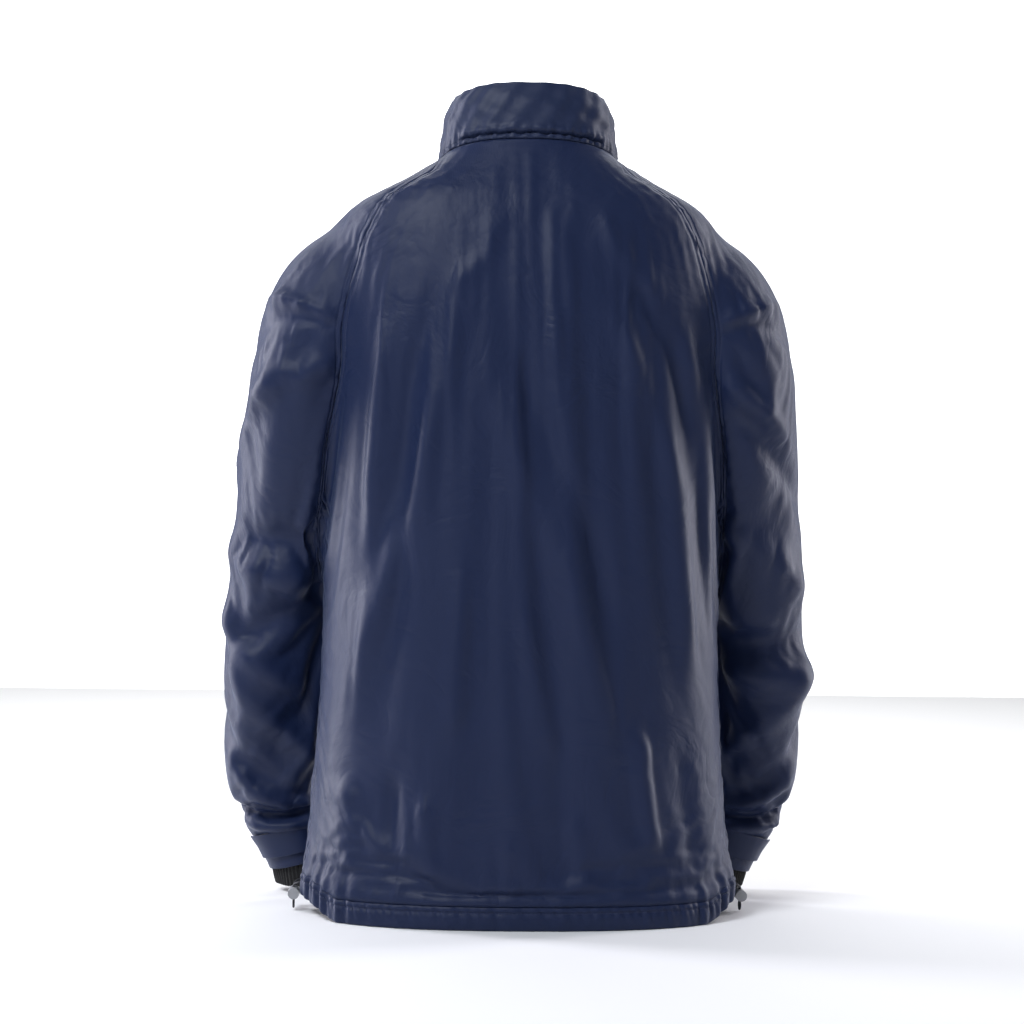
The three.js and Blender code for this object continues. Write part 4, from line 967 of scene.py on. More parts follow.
# Storm flap and chin guard behind and above the front zip
zipTop = body["neckHeight"] + body["collarHeight"] - body["collarDrop"] - 0.016
zipFoot, boxTop = 0.004, 0.014
z, x = np.meshgrid(np.linspace(zipFoot + 0.006, zipTop - 0.026, 160), np.linspace(-0.019, 0.019, 14),
                   indexing="ij")
bow = -0.0062 + 0.0003 * np.sin(z * 70) * np.cos(x * 90) - 0.0002 * np.sin(z * 173)
stormFlap = gridObject("stormFlap", inFrame(zipFrame, x, bow, z), thickness=0.0008, uv=(0.038, 0.74))
guard = {"half": 0.0063, "thick": 0.0014}
path = [(-0.0052, zipTop - 0.001), (-0.0052, zipTop + 0.008), (-0.0040, zipTop + 0.0125),
        (-0.0010, zipTop + 0.0132),
        (0.0014, zipTop + 0.0115), (0.0017, zipTop + 0.006), (0.0016, zipTop + 0.0012)]
path = stationCurve(path, np.linspace(0, 1, 36))
x = np.linspace(-guard["half"], guard["half"], 12)[None, :]
chinGuard = gridObject("chinGuard", inFrame(zipFrame, x + 0 * path[:, :1], path[:, :1] + 0 * x,
                                            path[:, 1:] + 0 * x),
                       thickness=guard["thick"] * 0.5, uv=(0.013, 0.04))

# Pocket bags: flat pouches with pillowed edges between the fronts and the lining
pocket = {"height": 0.255, "reach": 0.108, "half": 0.075, "depth": 0.108, "face": 0.0094, "thick": 0.0046}
heights = stationCurve(bodyStations, heightTable[:, 0])[:, 2]


def angleAt(reach):
    half = np.interp(pocket["height"], heights, stationCurve(bodyStations, heightTable[:, 0])[:, 0])
    return math.acos((reach / half) ** (body["roundness"] / 2))


bags = {}
for name, side in (("right", 1), ("left", -1)):
    vLow, vHigh = (np.interp(z, heights, heightTable[:,
                                                     0]) for z in (pocket["height"] - pocket["half"] - 0.029,
                                                                     pocket["height"] + pocket["half"] + 0.011))
    aLow, aHigh = angleAt(pocket["reach"] + 0.025), angleAt(pocket["reach"] + 0.027 - pocket["depth"])
    v = np.linspace(0, 1, 34)[:, None]
    turn = np.linspace(0, 2 * np.pi, 60, endpoint=False)[None, :]
    across = 0.5 - 0.5 * squared(np.cos(turn), 0.8)
    puff = np.sin(turn) * (np.clip(4 * v * (1 - v), 0, 1) ** 0.35) * 0.42
    crease = 0.05 * np.sin(across * 19 + v * 13)
    depth = -(pocket["face"] + pocket["thick"] * (0.5 - puff * (1 + crease)))
    a = aLow + (aHigh - aLow) * across + 0 * v
    a = a if side > 0 else np.pi - a
    bags[name] = gridObject("pocketBag" + name.title(),
                            pushedPoint(bodyPoint, vLow + (vHigh - vLow) * v + 0 * a, a, depth),
                            closed=True, uv=(0.22, 0.18))
    recalcNormals(bags[name], merge=0.00004)
print("lining, flap and bags done")

# Sleeve ends: ribbed cuffs, hook patches and tabs
cuff = {"length": 0.026, "up": 0.018, "ribs": 46, "ribDepth": 0.0006, "tabLength": 0.062, "tabWidth": 0.030}
knits, patches, tabs = {}, {}, {}
end = np.array([body["cuffReach"], body["cuffForward"] + originShift, body["cuffHeight"]])
armHeights = armFrames[0][:, 2]
tabLow, tabHigh = (np.interp(-z, -armHeights, armTable) for z in (body["cuffHeight"] + 0.012 + cuff["tabWidth"],
                                                                body["cuffHeight"] + 0.012))
for name, side in (("right", 1), ("left", -1)):
    turn = np.linspace(0, 2 * np.pi, cuff["ribs"] * 8, endpoint=False)[None, :]
    z = np.linspace(body["cuffHeight"] + cuff["up"], body["cuffHeight"] - cuff["length"], 40)[:, None]
    roll = np.concatenate([np.zeros(40), 0.0011 * (1 - np.cos(np.linspace(0, np.pi, 8)[1:])),
                           np.full(10, 0.0022)])
    z = np.concatenate([z[:, 0], z[-1, 0] - 0.0011 * np.sin(np.linspace(0, np.pi, 8)[1:]),
                        np.linspace(z[-1, 0] + 0.0008, z[-1, 0] + 0.026, 10)])[:, None]
    radius = np.interp(z, body["cuffHeight"] + np.array([-0.026, -0.012, 0, 0.018]),
                       body["cuffRadius"] - np.array([0.006, 0.0045, 0.0045, 0.0032])) - roll[:, None]
    ribs = cuff["ribDepth"] * squared(np.cos(turn * cuff["ribs"]), 0.6)
    wobble = 0.0010 * np.sin(turn * 5 + z * 90) * smoothStep(0.016, -0.004, z - body["cuffHeight"] + 0.010)
    radius = radius + ribs - cuff["ribDepth"] + wobble
    grid = np.stack([side * (end[0] - (body["cuffHeight"] - z) * 0.12 + radius * np.cos(turn)),
                     end[1] + (body["cuffHeight"] - z) * 0.06 + radius * np.sin(turn), z + 0 * turn], -1)
    knits[name] = gridObject("knitCuff" + name.title(), grid, closed=True, uv=(0.22, 0.08))
    recalcNormals(knits[name])
    flip = np.array([side, 1, 1])
    start = math.radians(-20)
    turnLength = cuff["tabLength"] / (body["cuffRadius"] + 0.003)
    t = np.linspace(tabLow, tabHigh, 14)[:, None]
    a = np.linspace(start - turnLength * 0.25, start - turnLength - 0.23, 40)[None, :]
    patches[name] = gridObject("cuffPatch" + name.title(),
                               sleevePoint(t + 0 * a, a + 0 * t, 0.0013 + 0 * a + 0 * t) * flip,
                               thickness=0.0006, uv=(0.047, 0.03))
    across = np.linspace(0, 2 * np.pi, 40, endpoint=False)[None, :]
    along = np.linspace(0, 1, 46)[:, None]
    rounding = np.sqrt(np.clip(1 - np.clip((along - 0.80) / 0.20, 0, 1) ** 2, 0, 1)) * 0.25 + 0.75
    rounding = rounding * np.sqrt(np.clip(1 - np.clip((along - 0.965) / 0.04, 0, 1) ** 2, 0.01, 1))
    squarish = squared(np.cos(across), 0.35)
    thick = squared(np.sin(across), 0.5) * 0.0008
    t = (tabLow + tabHigh) / 2 + (tabHigh - tabLow) / 2 * squarish * rounding
    a = start - turnLength * along + 0 * across
    raised = 0.0027 + thick + 0.0006 * np.sin(along * 9) * along
    tabs[name] = gridObject("cuffTab" + name.title(), sleevePoint(t, a, raised) * flip, closed=True,
                            uv=(0.065, 0.062))
    closeEnds(tabs[name])
print("sleeve ends done")

# Hem channel and drawcords


def hemChannel(name, angles):
    # The turned-up hem: a rounded flat tube round the body whose face waves with the gathers.
    turn = np.linspace(0, 2 * np.pi, 44, endpoint=False)[None, :]
    up = hem["band"] / 2 * squared(np.sin(turn), 0.55)
    out = hem["depth"] / 2 * squared(np.cos(turn), 0.55)
    a = np.asarray(angles)[:, None] + 0 * turn
    face = smoothStep(-0.2, 0.8, np.cos(turn))
    stitch = 0.0009 * np.exp(-((up - hem["band"] * 0.24) / 0.0010) ** 2) * face
    bump = (gathers(a) * 0.8 + 0.0006 * np.sin(a * 130 + up * 300) * np.exp(-((up - 0.004) / 0.006) ** 2)) * face
    height = hem["band"] / 2 + up * 0.985
    flatter = np.where(np.sin(a) > 0, 0.34 + 0.66 * smoothStep(0.015, 0.030,
                                                               np.abs(hemPoint(height, a)[..., 0])), 1.0)
    point = pushedPoint(hemPoint, height, a, (out - hem["depth"] / 2) * flatter + bump - stitch - 0.0001)
    return gridObject(name, point, closed=True, thickness=0.0007, uv=(0.056, len(angles) * 0.002))


backHem = hemChannel("hemBack", np.linspace(-np.pi + hem["cornerGap"], -hem["cornerGap"], 420))
frontEnd = math.acos(((body["zipGapHalf"] + 0.0022) / body["hemHalf"]) ** (body["roundness"] / 2))
frontHems = {name: hemChannel("hemFront" + name.title(), edge) for name, edge in (
    ("right", np.linspace(hem["cornerGap"], frontEnd, 220)),
    ("left", np.pi - np.linspace(hem["cornerGap"], frontEnd, 220)))}


def cornerAngle(y):
    return math.asin((abs(y) / (frontAt(0) if y > 0 else body["hemBack"])) ** (body["roundness"] / 2))


cordStart = cornerAngle(hem["eyeletY"]) + 0.05
drawcords = []
for name, low, high in (("drawcordBack", -np.pi + cordStart, -cordStart),
                        ("drawcordFrontRight", cordStart, frontEnd - 0.13),
                        ("drawcordFrontLeft", np.pi - cordStart, np.pi - frontEnd + 0.13)):
    a = np.linspace(low, high, 200)
    line = pushedPoint(hemPoint, hem["band"] / 2 + 0 * a, a, -hem["depth"] / 2 - 0.0002 + 0 * a)
    drawcords.append(capped(name, tubeGrid(line, hem["cord"] / 2, 10), uv=(0.0075, 0.5)))

print("hem done")

# Zips: rows of teeth on woven tapes
toothShape = np.array([  # a tooth's outline across the tape and along it: root, neck and round head
    (1.0, -0.30), (0.45, -0.30), (0.30, -0.16), (0.14, -0.16), (0.02, -0.24), (-0.10, -0.20), (-0.16, 0.0),
    (-0.10, 0.20), (0.02, 0.24), (0.14, 0.16), (0.30, 0.16), (0.45, 0.30), (1.0, 0.30)])


def zipTeeth(name, place, side, low, high, pitch=0.0034, reach=0.0029, thick=0.0014):
    # A row of cast teeth whose heads reach past the middle between the other row's.
    middles = np.arange(low + pitch, high - pitch / 2, pitch) + (pitch / 2 if side > 0 else 0)
    outline = toothShape * np.array([reach * side, pitch])
    layers = np.array([(-1.0, 0.86), (-0.8, 1.0), (0.8, 1.0), (1.0, 0.86)])
    n = len(outline)
    x = (outline[:, 0].mean() + (outline[None, :, 0] - outline[:, 0].mean()) * layers[:, 1:]).ravel()
    z = (outline[None, :, 1] * layers[:, 1:]).ravel()
    y = np.repeat(layers[:, 0] * thick, n)
    pts = inFrame(place, np.tile(x, len(middles)), np.tile(y, len(middles)),
                  (middles[:, None] + z[None, :]).ravel())
    faces = []
    for k in range(len(layers) - 1):
        faces += [(k * n + i, k * n + (i + 1) % n, (k + 1) * n + (i + 1) % n,
                   (k + 1) * n + i) for i in range(n)]
    faces += [tuple(range(n))[::-1], tuple(3 * n + i for i in range(n))]
    allFaces = [tuple(i + m * 4 * n for i in f) for m in range(len(middles)) for f in faces]
    made = meshObject(name, pts, allFaces, smoothShade=False)
    recalcNormals(made)
    return made


def zipTape(name, place, side, inner, outer, low, high):
    # A woven tape with a rolled edge beside the teeth.
    turn = np.linspace(0, 2 * np.pi, 20, endpoint=False)[None, :]
    across = (1 - squared(np.cos(turn), 0.6)) / 2
    cord = 0.00030 * np.exp(-((across - 0.06) / 0.08) ** 2)
    half = (0.00032 + cord) * squared(np.sin(turn), 0.6)
    z = np.linspace(low, high, 120)[:, None]
    wave = 0.00012 * np.sin(z * 400) * across
    made = gridObject(name, inFrame(place, side * (inner + (outer - inner) * across) + 0 * z, half + wave,
                                    z + 0 * turn),
                      closed=True, uv=(0.025, high - low))
    closeEnds(made)
    return made


zipParts = {}
for name, side in (("right", 1), ("left", -1)):
    title = name.title()
    zipParts["main_zip_teeth_" + name] = zipTeeth("mainTeeth" + title, zipFrame, side, boxTop + 0.001, zipTop)
    zipParts["main_zip_tape_" + name] = zipTape("mainTape" + title, zipFrame, side, 0.0032, 0.0138,
                                                boxTop + 0.0004, zipTop)
    place = pocketFrame(side)
    teeth = joinObjects([zipTeeth("pocketTeeth" + title, place, k, -pocket["half"],
                                  pocket["half"]) for k in (1, -1)])
    zipParts["pocket_zip_teeth_" + name] = teeth
    tape = joinObjects([zipTape("pocketTape" + title, place, k, 0.0032, 0.0118, -pocket["half"] - 0.006,
                                pocket["half"] + 0.006) for k in (1, -1)])
    zipParts["pocket_zip_tape_" + name] = tape
print("zips done")


# Materials
def shaderGroup(name, inputs, outputs):
    tree = bpy.data.node_groups.new(name, "ShaderNodeTree")
    kinds = {"float": "NodeSocketFloat", "vector": "NodeSocketVector", "color": "NodeSocketColor"}
    for label, kind, value in inputs:
        socket = tree.interface.new_socket(label, in_out="INPUT", socket_type=kinds[kind])
        if value is not None:
            socket.default_value = value
    for label, kind in outputs:
        tree.interface.new_socket(label, in_out="OUTPUT", socket_type=kinds[kind])
    return tree, tree.nodes.new("NodeGroupInput"), tree.nodes.new("NodeGroupOutput")


def feed(tree, socket, value):
    # Links a node's output to an input, or sets the input's own value.
    if isinstance(value, bpy.types.NodeSocket):
        tree.links.new(value, socket)
    else:
        socket.default_value = value


def addNode(tree, kind, values=None, **settings):
    # Adds a node, sets its properties, and fills its inputs from values or from other nodes' outputs.
    made = tree.nodes.new(kind)
    for key, value in settings.items():
        setattr(made, key, value)
    for key, value in (values or {}).items():
        feed(tree, made.inputs[key], value)
    return made


def maths(tree, operation, a, b=0.0, c=0.0):
    return addNode(tree, "ShaderNodeMath", {0: a, 1: b, 2: c}, operation=operation).outputs[0]


def mixColor(tree, factor, a, b, blend="MIX"):
    mix = addNode(tree, "ShaderNodeMix", data_type="RGBA", blend_type=blend)
    for socket, value in ((mix.inputs[0], factor), (mix.inputs[6], a), (mix.inputs[7], b)):
        feed(tree, socket, value)
    return mix.outputs[2]


def clothGroup():
    # Woven cloth: a plain weave of crossing yarns, small crumples, and a slow change of tone. The weave's raised
    # points are painted up to 3 per cent lighter and its hollows as much darker, as painted light and shade.
    tree, start, end = shaderGroup("wovenCloth", [
        ("Place", "vector", None), ("Color", "color", (0.1, 0.1, 0.1, 1)), ("Thread", "float", 0.0012),
        ("Weave depth", "float", 0.3), ("Crumple size", "float", 0.02), ("Crumple depth", "float", 0.3),
        ("Tone change", "float", 0.1)], [("Color", "color"), ("Height", "float"), ("Tone", "float")])
    src = start.outputs
    parts = addNode(tree, "ShaderNodeSeparateXYZ", {0: src["Place"]})
    turns = maths(tree, "DIVIDE", 6.2832, src["Thread"])
    warp = maths(tree, "SINE", maths(tree, "MULTIPLY", maths(tree, "ADD", parts.outputs[0], parts.outputs[1]),
                                     turns))
    weft = maths(tree, "SINE", maths(tree, "MULTIPLY", parts.outputs[2], turns))
    weave = maths(tree, "MULTIPLY", maths(tree, "MULTIPLY", warp, weft),
                  maths(tree, "MULTIPLY", src["Weave depth"], 0.00006))
    size = maths(tree, "DIVIDE", 1.0, src["Crumple size"])
    small = addNode(tree, "ShaderNodeTexNoise",
                    {"Vector": src["Place"], "Scale": size, "Detail": 5.0, "Roughness": 0.55,
                                                 "Distortion": 0.6}).outputs[0]
    bent = addNode(tree, "ShaderNodeTexNoise",
                   {"Vector": src["Place"], "Scale": maths(tree, "MULTIPLY", size, 0.42),
                                                "Detail": 3.0, "Distortion": 1.6}).outputs[0]
    fold = maths(tree, "ABSOLUTE", maths(tree, "SUBTRACT", bent, 0.5))
    crumple = maths(tree, "ADD", maths(tree, "MULTIPLY", small, 0.0010),
                    maths(tree, "MULTIPLY", fold, 0.0042))
    height = maths(tree, "ADD", weave, maths(tree, "MULTIPLY", crumple, src["Crumple depth"]))
    tone = addNode(tree, "ShaderNodeTexNoise",
                   {"Vector": src["Place"], "Scale": 5.0, "Detail": 6.0, "Roughness": 0.6}).outputs[0]
    shade = maths(tree, "ADD", 1.0, maths(tree, "MULTIPLY", maths(tree, "SUBTRACT", tone, 0.5),
                                          src["Tone change"]))
    # Painted light and shade: the colour rises and falls by 3 per cent with the weave's height.
    weaveLightAndShade = maths(tree, "MULTIPLY_ADD", maths(tree, "MULTIPLY", warp, weft), 0.03, 1.0)
    scaled = addNode(tree, "ShaderNodeVectorMath",
                     {0: src["Color"], "Scale": maths(tree, "MULTIPLY", shade, weaveLightAndShade)},
                     operation="SCALE").outputs[0]
    tree.links.new(scaled, end.inputs["Color"])
    tree.links.new(height, end.inputs["Height"])
    tree.links.new(tone, end.inputs["Tone"])
    return tree


def stitchGroup():
    # A row of stitches: dashes along a line that lies at an offset, sunk into the cloth.
    tree, start, end = shaderGroup("stitchRow", [
        ("Distance", "float", 1.0), ("Along", "float", 0.0), ("Offset", "float", 0.004),
                                                 ("Pitch", "float", 0.003),
        ("Width", "float", 0.0005)], [("Mask", "float"), ("Height", "float")])
    src = start.outputs
    off = maths(tree, "ABSOLUTE", maths(tree, "SUBTRACT", src["Distance"], src["Offset"]))
    across = maths(tree, "SUBTRACT", 1.0, maths(tree, "MINIMUM", maths(tree, "DIVIDE", off, src["Width"]),
                                                1.0))
    turn = maths(tree, "MULTIPLY", maths(tree, "DIVIDE", src["Along"], src["Pitch"]), 6.2832)
    dash = addNode(tree, "ShaderNodeMapRange", {0: maths(tree, "SINE", turn), 1: -0.7, 2: -0.1}).outputs[0]
    groove = maths(tree, "SUBTRACT", 1.0, maths(tree, "MINIMUM", maths(tree, "DIVIDE", off, 0.0022), 1.0))
    mask = maths(tree, "MULTIPLY", across, dash)
    height = maths(tree, "SUBTRACT", maths(tree, "MULTIPLY", mask, 0.00025),
                   maths(tree, "MULTIPLY", groove, 0.0006))
    tree.links.new(mask, end.inputs["Mask"])
    tree.links.new(height, end.inputs["Height"])
    return tree


def wearGroup():
    # Hard surfaces: fine grain, faint scratches and a little dust.
    tree, start, end = shaderGroup("hardWear", [
        ("Place", "vector", None), ("Color", "color", (0.1, 0.1, 0.1, 1)), ("Grain", "float", 900.0),
        ("Scratch", "float", 0.3), ("Dust", "float", 0.1)],
                                   [("Color", "color"), ("Height", "float"), ("Mask", "float")])
    src = start.outputs
    grain = addNode(tree, "ShaderNodeTexNoise",
                    {"Vector": src["Place"], "Scale": src["Grain"], "Detail": 3.0}).outputs[0]
    long = addNode(tree, "ShaderNodeMapping", {0: src["Place"], 3: (700, 700, 60)}).outputs[0]
    lines = addNode(tree, "ShaderNodeTexNoise", {"Vector": long, "Scale": 1.0, "Detail": 2.0}).outputs[0]
    scratch = maths(tree, "MULTIPLY", addNode(tree, "ShaderNodeMapRange",
                                              {0: lines, 1: 0.60, 2: 0.72}).outputs[0], src["Scratch"])
    cloud = addNode(tree, "ShaderNodeTexNoise",
                    {"Vector": src["Place"], "Scale": 160.0, "Detail": 5.0}).outputs[0]
    dust = maths(tree, "MULTIPLY", addNode(tree, "ShaderNodeMapRange",
                                           {0: cloud, 1: 0.45, 2: 0.75}).outputs[0], src["Dust"])
    worn = mixColor(tree, dust, src["Color"], (0.35, 0.35, 0.36, 1))
    height = maths(tree, "SUBTRACT", maths(tree, "MULTIPLY", grain, 0.00003),
                   maths(tree, "MULTIPLY", scratch, 0.00004))
    tree.links.new(worn, end.inputs["Color"])
    tree.links.new(height, end.inputs["Height"])
    tree.links.new(maths(tree, "ADD", scratch, dust), end.inputs["Mask"])
    return tree


clothTree, stitchTree, wearTree = clothGroup(), stitchGroup(), wearGroup()


def newMaterial(name, roughness, **sockets):
    material = bpy.data.materials.new(name)
    material.use_nodes = True
    shader = material.node_tree.nodes["Principled BSDF"]
    shader.inputs["Roughness"].default_value = roughness
    for key, value in sockets.items():
        shader.inputs[key.replace("_", " ")].default_value = value
    return material, material.node_tree, shader


def groupNode(tree, group, values):
    made = addNode(tree, "ShaderNodeGroup")
    made.node_tree = group
    for key, value in values.items():
        feed(tree, made.inputs[key], value)
    return made


def bumped(tree, shader, height, strength=1.0, distance=1.0):
    bump = addNode(tree, "ShaderNodeBump", {"Height": height, "Strength": strength, "Distance": distance})
    tree.links.new(bump.outputs[0], shader.inputs["Normal"])


def roughFrom(tree, shader, value, low, high):
    spread = addNode(tree, "ShaderNodeMapRange", {0: value, 1: 0.3, 2: 0.7, 3: low, 4: high})
    tree.links.new(spread.outputs[0], shader.inputs["Roughness"])


navy = (0.0078, 0.0155, 0.0520, 1)
looks = {"thread": 0.0011, "crumple": 0.034, "crumpleDepth": 0.6, "rough": (0.42, 0.55), "sheen": 0.12}


def nylon(name, color, place="cloth", seams=False, uvStitch=None, crumple=1.0):
    material, tree, shader = newMaterial(name, 0.42, Sheen_Weight=looks["sheen"], Sheen_Roughness=0.35,
                                         Sheen_Tint=(0.62, 0.72, 1.0, 1), Specular_IOR_Level=0.24)
    if place == "cloth":
        where = addNode(tree, "ShaderNodeAttribute", attribute_name="cloth").outputs["Vector"]
    else:
        where = addNode(tree, "ShaderNodeTexCoord").outputs["Object"]
    woven = groupNode(tree, clothTree, {"Place": where, "Color": color, "Thread": looks["thread"],
                                        "Weave depth": 0.5,
                                         "Crumple size": looks["crumple"], "Tone change": 0.16,
                                         "Crumple depth": looks["crumpleDepth"] * crumple})
    height, tint = woven.outputs["Height"], woven.outputs["Color"]
    stitches = []
    if seams:
        near = addNode(tree, "ShaderNodeAttribute", attribute_name="seam").outputs["Fac"]
        parts = addNode(tree, "ShaderNodeSeparateXYZ", {0: where})
        along = maths(tree, "SUBTRACT", maths(tree, "ABSOLUTE", parts.outputs[0]), parts.outputs[2])
        stitches.append(groupNode(tree, stitchTree,
                                  {"Distance": near, "Along": along, "Offset": 0.0045, "Pitch": 0.0032}))
        # Within 1.4 mm of a seam the cloth sinks into a groove, and its colour is mixed towards near-black navy there
        # as painted shade in the groove.
        seamGrooveShade = maths(tree, "SUBTRACT", 1.0, maths(tree, "MINIMUM", maths(tree, "DIVIDE", near, 0.0014), 1.0))
        height = maths(tree, "SUBTRACT", height, maths(tree, "MULTIPLY", seamGrooveShade, 0.0003))
        tint = mixColor(tree, maths(tree, "MULTIPLY", seamGrooveShade, 0.15), tint, (0.004, 0.006, 0.016, 1))
    for axis, offset in uvStitch or ():
        uv = addNode(tree, "ShaderNodeSeparateXYZ", {0: addNode(tree, "ShaderNodeTexCoord").outputs["UV"]})
        stitches.append(groupNode(tree, stitchTree,
                                  {"Distance": uv.outputs[axis], "Along": uv.outputs[1 - axis],
                                                  "Offset": offset, "Pitch": 0.0032}))
    for row in stitches:
        height = maths(tree, "ADD", height, row.outputs["Height"])
        tint = mixColor(tree, maths(tree, "MULTIPLY", row.outputs["Mask"], 0.5), tint,
                        (0.045, 0.055, 0.11, 1))
    tree.links.new(tint, shader.inputs["Base Color"])
    roughFrom(tree, shader, woven.outputs["Tone"], *looks["rough"])
    bumped(tree, shader, height)
    return material


def hardFinish(name, color, roughness, metallic=0.0, scratch=0.3, dust=0.05):
    material, tree, shader = newMaterial(name, roughness, Metallic=metallic)
    where = addNode(tree, "ShaderNodeTexCoord").outputs["Object"]
    wear = groupNode(tree, wearTree, {"Place": where, "Color": color, "Scratch": scratch, "Dust": dust})
    tree.links.new(wear.outputs["Color"], shader.inputs["Base Color"])
    spread = addNode(tree, "ShaderNodeMapRange",
                     {0: wear.outputs["Mask"], 1: 0.0, 2: 0.5, 3: roughness, 4: roughness + 0.25})
    tree.links.new(spread.outputs[0], shader.inputs["Roughness"])
    bumped(tree, shader, wear.outputs["Height"])
    return material


def patternFinish(name, color, roughness, turnsU, turnsV, depth, kind="weave", **sockets):
    # Cloth whose pattern runs with its UV: a twill weave, a mesh of round holes, knit loops or a round braid. Its low
    # parts, the mesh's holes and the hollows between loops and threads, are painted darker as painted shade.
    material, tree, shader = newMaterial(name, roughness, **sockets)
    uv = addNode(tree, "ShaderNodeSeparateXYZ", {0: addNode(tree, "ShaderNodeTexCoord").outputs["UV"]})
    u = maths(tree, "MULTIPLY", uv.outputs[0], 6.2832 * turnsU)
    v = maths(tree, "MULTIPLY", uv.outputs[1], 6.2832 * turnsV)
    if kind == "mesh":
        value = maths(tree, "MULTIPLY", maths(tree, "SINE", u), maths(tree, "SINE", v))
    elif kind == "knit":
        value = maths(tree, "SINE", maths(tree, "ADD", v,
                                          maths(tree, "MULTIPLY", maths(tree, "SINE", u), 1.3)))
    else:
        value = maths(tree, "MAXIMUM", maths(tree, "SINE", maths(tree, "ADD", u, v)),
                      maths(tree, "SINE", maths(tree, "SUBTRACT", u, v)))
    share = addNode(tree, "ShaderNodeMapRange", {0: value, 1: -0.6, 2: 0.5}).outputs[0]
    noise = addNode(tree, "ShaderNodeTexNoise",
                    {"Vector": addNode(tree, "ShaderNodeTexCoord").outputs["Object"],
                                                 "Scale": 700.0, "Detail": 4.0}).outputs[0]
    # Painted shade: the pattern's hollows take the colour at 35 per cent brightness.
    hollowShade = tuple(c * 0.35 for c in color[:3]) + (1,)
    tint = mixColor(tree, share, hollowShade, color)
    fuzz = mixColor(tree, maths(tree, "MULTIPLY", noise, 0.25), tint,
                    tuple(min(1, c * 2 + 0.002) for c in color[:3]) + (1,))
    tree.links.new(fuzz, shader.inputs["Base Color"])
    roughFrom(tree, shader, noise, roughness - 0.08, roughness + 0.08)
    bumped(tree, shader, maths(tree, "MULTIPLY_ADD", noise, 0.0001, maths(tree, "MULTIPLY", share, depth)))
    return material


shellNylon = nylon("shellNylon", navy, seams=True)
collarNylon = nylon("collarNylon", (0.0125, 0.0205, 0.0560, 1), place="object", crumple=0.9,
                    uvStitch=[(1, 0.0042)])
hemNylon = nylon("hemNylon", navy, place="object", uvStitch=[(0, 0.0024)])
hoodNylon = nylon("hoodNylon", navy, place="object", crumple=1.4)
flapNylon = nylon("flapNylon", navy, place="object", crumple=0.4, uvStitch=[(0, 0.003), (0, 0.035)])
tabNylon = nylon("tabNylon", navy, place="object", crumple=0.3)
meshLining = patternFinish("meshLining", (0.030, 0.042, 0.085, 1), 0.75, 330, 330, 0.0004, "mesh",
                           Sheen_Weight=0.2)
bagLining = patternFinish("bagLining", (0.022, 0.030, 0.060, 1), 0.75, 480, 480, 0.0002, "mesh",
                          Sheen_Weight=0.2)
blackKnit = patternFinish("blackKnit", (0.0035, 0.0035, 0.0045, 1), 0.95, 620, 560, 0.0005, "knit",
                          Sheen_Weight=0.05,
                          Sheen_Roughness=0.6)
wovenTape = patternFinish("wovenTape", (0.016, 0.020, 0.042, 1), 0.7, 900, 620, 0.00012, Sheen_Weight=0.15)
fuzzyTape = patternFinish("fuzzyTape", (0.012, 0.014, 0.026, 1), 0.95, 800, 800, 0.0004, Sheen_Weight=0.4)
elasticCord = patternFinish("elasticCord", (0.016, 0.017, 0.024, 1), 0.62, 930, 560, 0.0002)
satinLabel = patternFinish("satinLabel", (0.62, 0.63, 0.66, 1), 0.38, 1800, 900, 0.00003, Sheen_Weight=0.2)
zipMetal = hardFinish("zipMetal", (0.24, 0.245, 0.26, 1), 0.27, metallic=1.0, scratch=0.5)
blackPlastic = hardFinish("blackPlastic", (0.010, 0.011, 0.014, 1), 0.36, scratch=0.25)
toothPlastic = hardFinish("toothPlastic", (0.011, 0.015, 0.035, 1), 0.32, scratch=0.15)
lockPlastic = hardFinish("lockPlastic", (0.30, 0.305, 0.32, 1), 0.34, scratch=0.35)

# What each piece is, rides on and stands for

def place(obj, material, slotName, nodes, bodyName="jacket"):
    obj.data.materials.clear()
    obj.data.materials.append(material)
    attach(obj, bodyName)
    if nodes:
        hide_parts(*nodes)
    return obj


place(backPanel, shellNylon, "shell_nylon", ["back_panel"])
place(collarShell, collarNylon, "collar_nylon", ["collar_shell"])
place(collarFacing, meshLining, "mesh_lining", ["collar_facing"])
place(stowedHood, hoodNylon, "shell_nylon", ["stowed_hood"])
place(loopTape, fuzzyTape, "zip_tape", ["hood_slit_loop_tape"])
place(hookTape, fuzzyTape, "zip_tape", ["hood_slit_hook_tape"])
place(neckTape, wovenTape, "zip_tape", ["neck_tape"])
place(lining, meshLining, "mesh_lining", ["body_lining"])
place(hangingLoop, wovenTape, "zip_tape", ["hanging_loop"])
place(sizeLabel, satinLabel, "label", ["size_label"])
place(stormFlap, flapNylon, "shell_nylon", ["storm_flap"])
place(chinGuard, tabNylon, "collar_nylon", ["chin_guard"])
place(backHem, hemNylon, "shell_nylon", ["hem_band_back"])
for cord, node in zip(drawcords, ("hem_drawcord_back", "hem_drawcord_front_right",
                                  "hem_drawcord_front_left")):
    place(cord, elasticCord, "elastic_cord", [node])
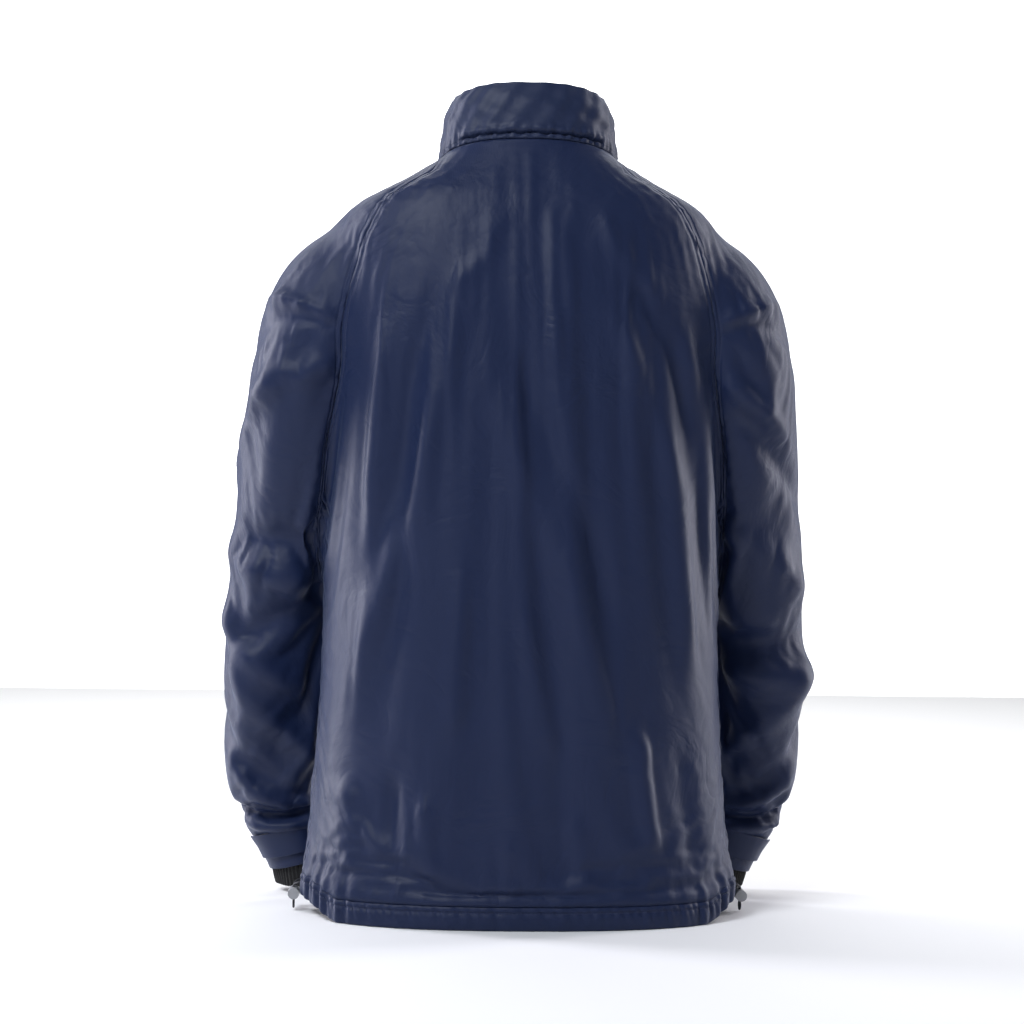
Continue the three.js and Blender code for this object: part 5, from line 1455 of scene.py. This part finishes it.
for name in ("right", "left"):
    place(fronts[name], shellNylon, "shell_nylon", ["front_panel_" + name])
    place(sleeves[name], shellNylon, "shell_nylon", ["sleeve_" + name])
    place(bags[name], bagLining, "mesh_lining", ["pocket_bag_" + name])
    place(knits[name], blackKnit, "black_knit", ["inner_cuff_" + name])
    place(patches[name], fuzzyTape, "zip_tape", ["cuff_patch_" + name])
    place(tabs[name], tabNylon, "shell_nylon", ["cuff_tab_" + name], "cuff_tab_" + name)
    place(frontHems[name], hemNylon, "shell_nylon", ["hem_band_front_" + name])
    place(cordLoops[name][0], elasticCord, "elastic_cord", ["cord_loop_" + name])
    for node in ("main_zip_teeth_", "pocket_zip_teeth_"):
        place(zipParts[node + name], toothPlastic, "black_plastic", [node + name])
    for node in ("main_zip_tape_", "pocket_zip_tape_"):
        place(zipParts[node + name], wovenTape, "zip_tape", [node + name])
shownHard = [n for n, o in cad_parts.items() if not o.hide_render]
for n in shownHard:
    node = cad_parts[n]
    metal = "slider" in n or "puller" in n or "eyelet" in n or "spring" in n
    look = zipMetal if metal else lockPlastic if "cord_lock" in n else blackPlastic
    node.data.materials.clear()
    node.data.materials.append(look)
print("CAD nodes shown:", shownHard)

for name in ("right", "left"):
    piece, line, length = cordLoops[name]

# Floor, backdrop and lights
floorLook, tree, shader = newMaterial("floorLook", 0.55, Base_Color=(0.93, 0.93, 0.93, 1))
noise = addNode(tree, "ShaderNodeTexNoise", {"Scale": 2.0}).outputs[0]
roughFrom(tree, shader, noise, 0.52, 0.60)
floor = meshObject("floor", [(-6, -6, 0), (6, -6, 0), (6, 6, 0), (-6, 6, 0)], [(0, 1, 2, 3)])
floor.location.z = -0.0005
floor.data.materials.append(floorLook)
wallLook, tree, shader = newMaterial("wallLook", 0.8, Base_Color=(0.93, 0.93, 0.93, 1),
                                     Emission_Strength=0.75,
                                     Emission_Color=(1, 1, 1, 1))
wall = meshObject("wall", [(-6, 3, -0.01), (6, 3, -0.01), (6, 3, 5), (-6, 3, 5)], [(0, 1, 2, 3)])
wall.data.materials.append(wallLook)
wall.visible_glossy = False
wall.visible_diffuse = False
world = bpy.data.worlds.new("world")
world.use_nodes = True
world.node_tree.nodes["Background"].inputs[0].default_value = (0.90, 0.93, 1.0, 1)
world.node_tree.nodes["Background"].inputs[1].default_value = 0.17
scene.world = world
scene.view_settings.view_transform = "Standard"


def softLight(name, spot, size, energy, color=(1, 1, 1), target=(0, 0, 0.42)):
    lamp = bpy.data.objects.new(name, bpy.data.lights.new(name, "AREA"))
    lamp.data.shape = "RECTANGLE"
    lamp.data.size, lamp.data.size_y = size
    lamp.data.energy = energy
    lamp.data.color = color
    lamp.location = spot
    away = np.array(spot) - np.array(target)
    lamp.rotation_euler = (math.acos(away[2] / np.linalg.norm(away)), 0,
                           math.atan2(away[1], away[0]) + math.pi / 2)
    scene.collection.objects.link(lamp)


softLight("key", (-1.3, -1.7, 2.2), (0.8, 1.0), 60, (0.90, 0.94, 1.0))
softLight("fill", (1.8, -2.0, 1.0), (1.0, 1.2), 3)
softLight("rimLeft", (-1.7, 0.7, 0.9), (0.5, 1.8), 45, (0.93, 0.92, 1.0))
softLight("rimRight", (1.7, 0.7, 0.9), (0.5, 1.8), 30, (0.95, 0.93, 1.0))
softLight("floorWash", (0, 2.2, 2.4), (4.0, 1.2), 80, target=(0, 2.6, 0))
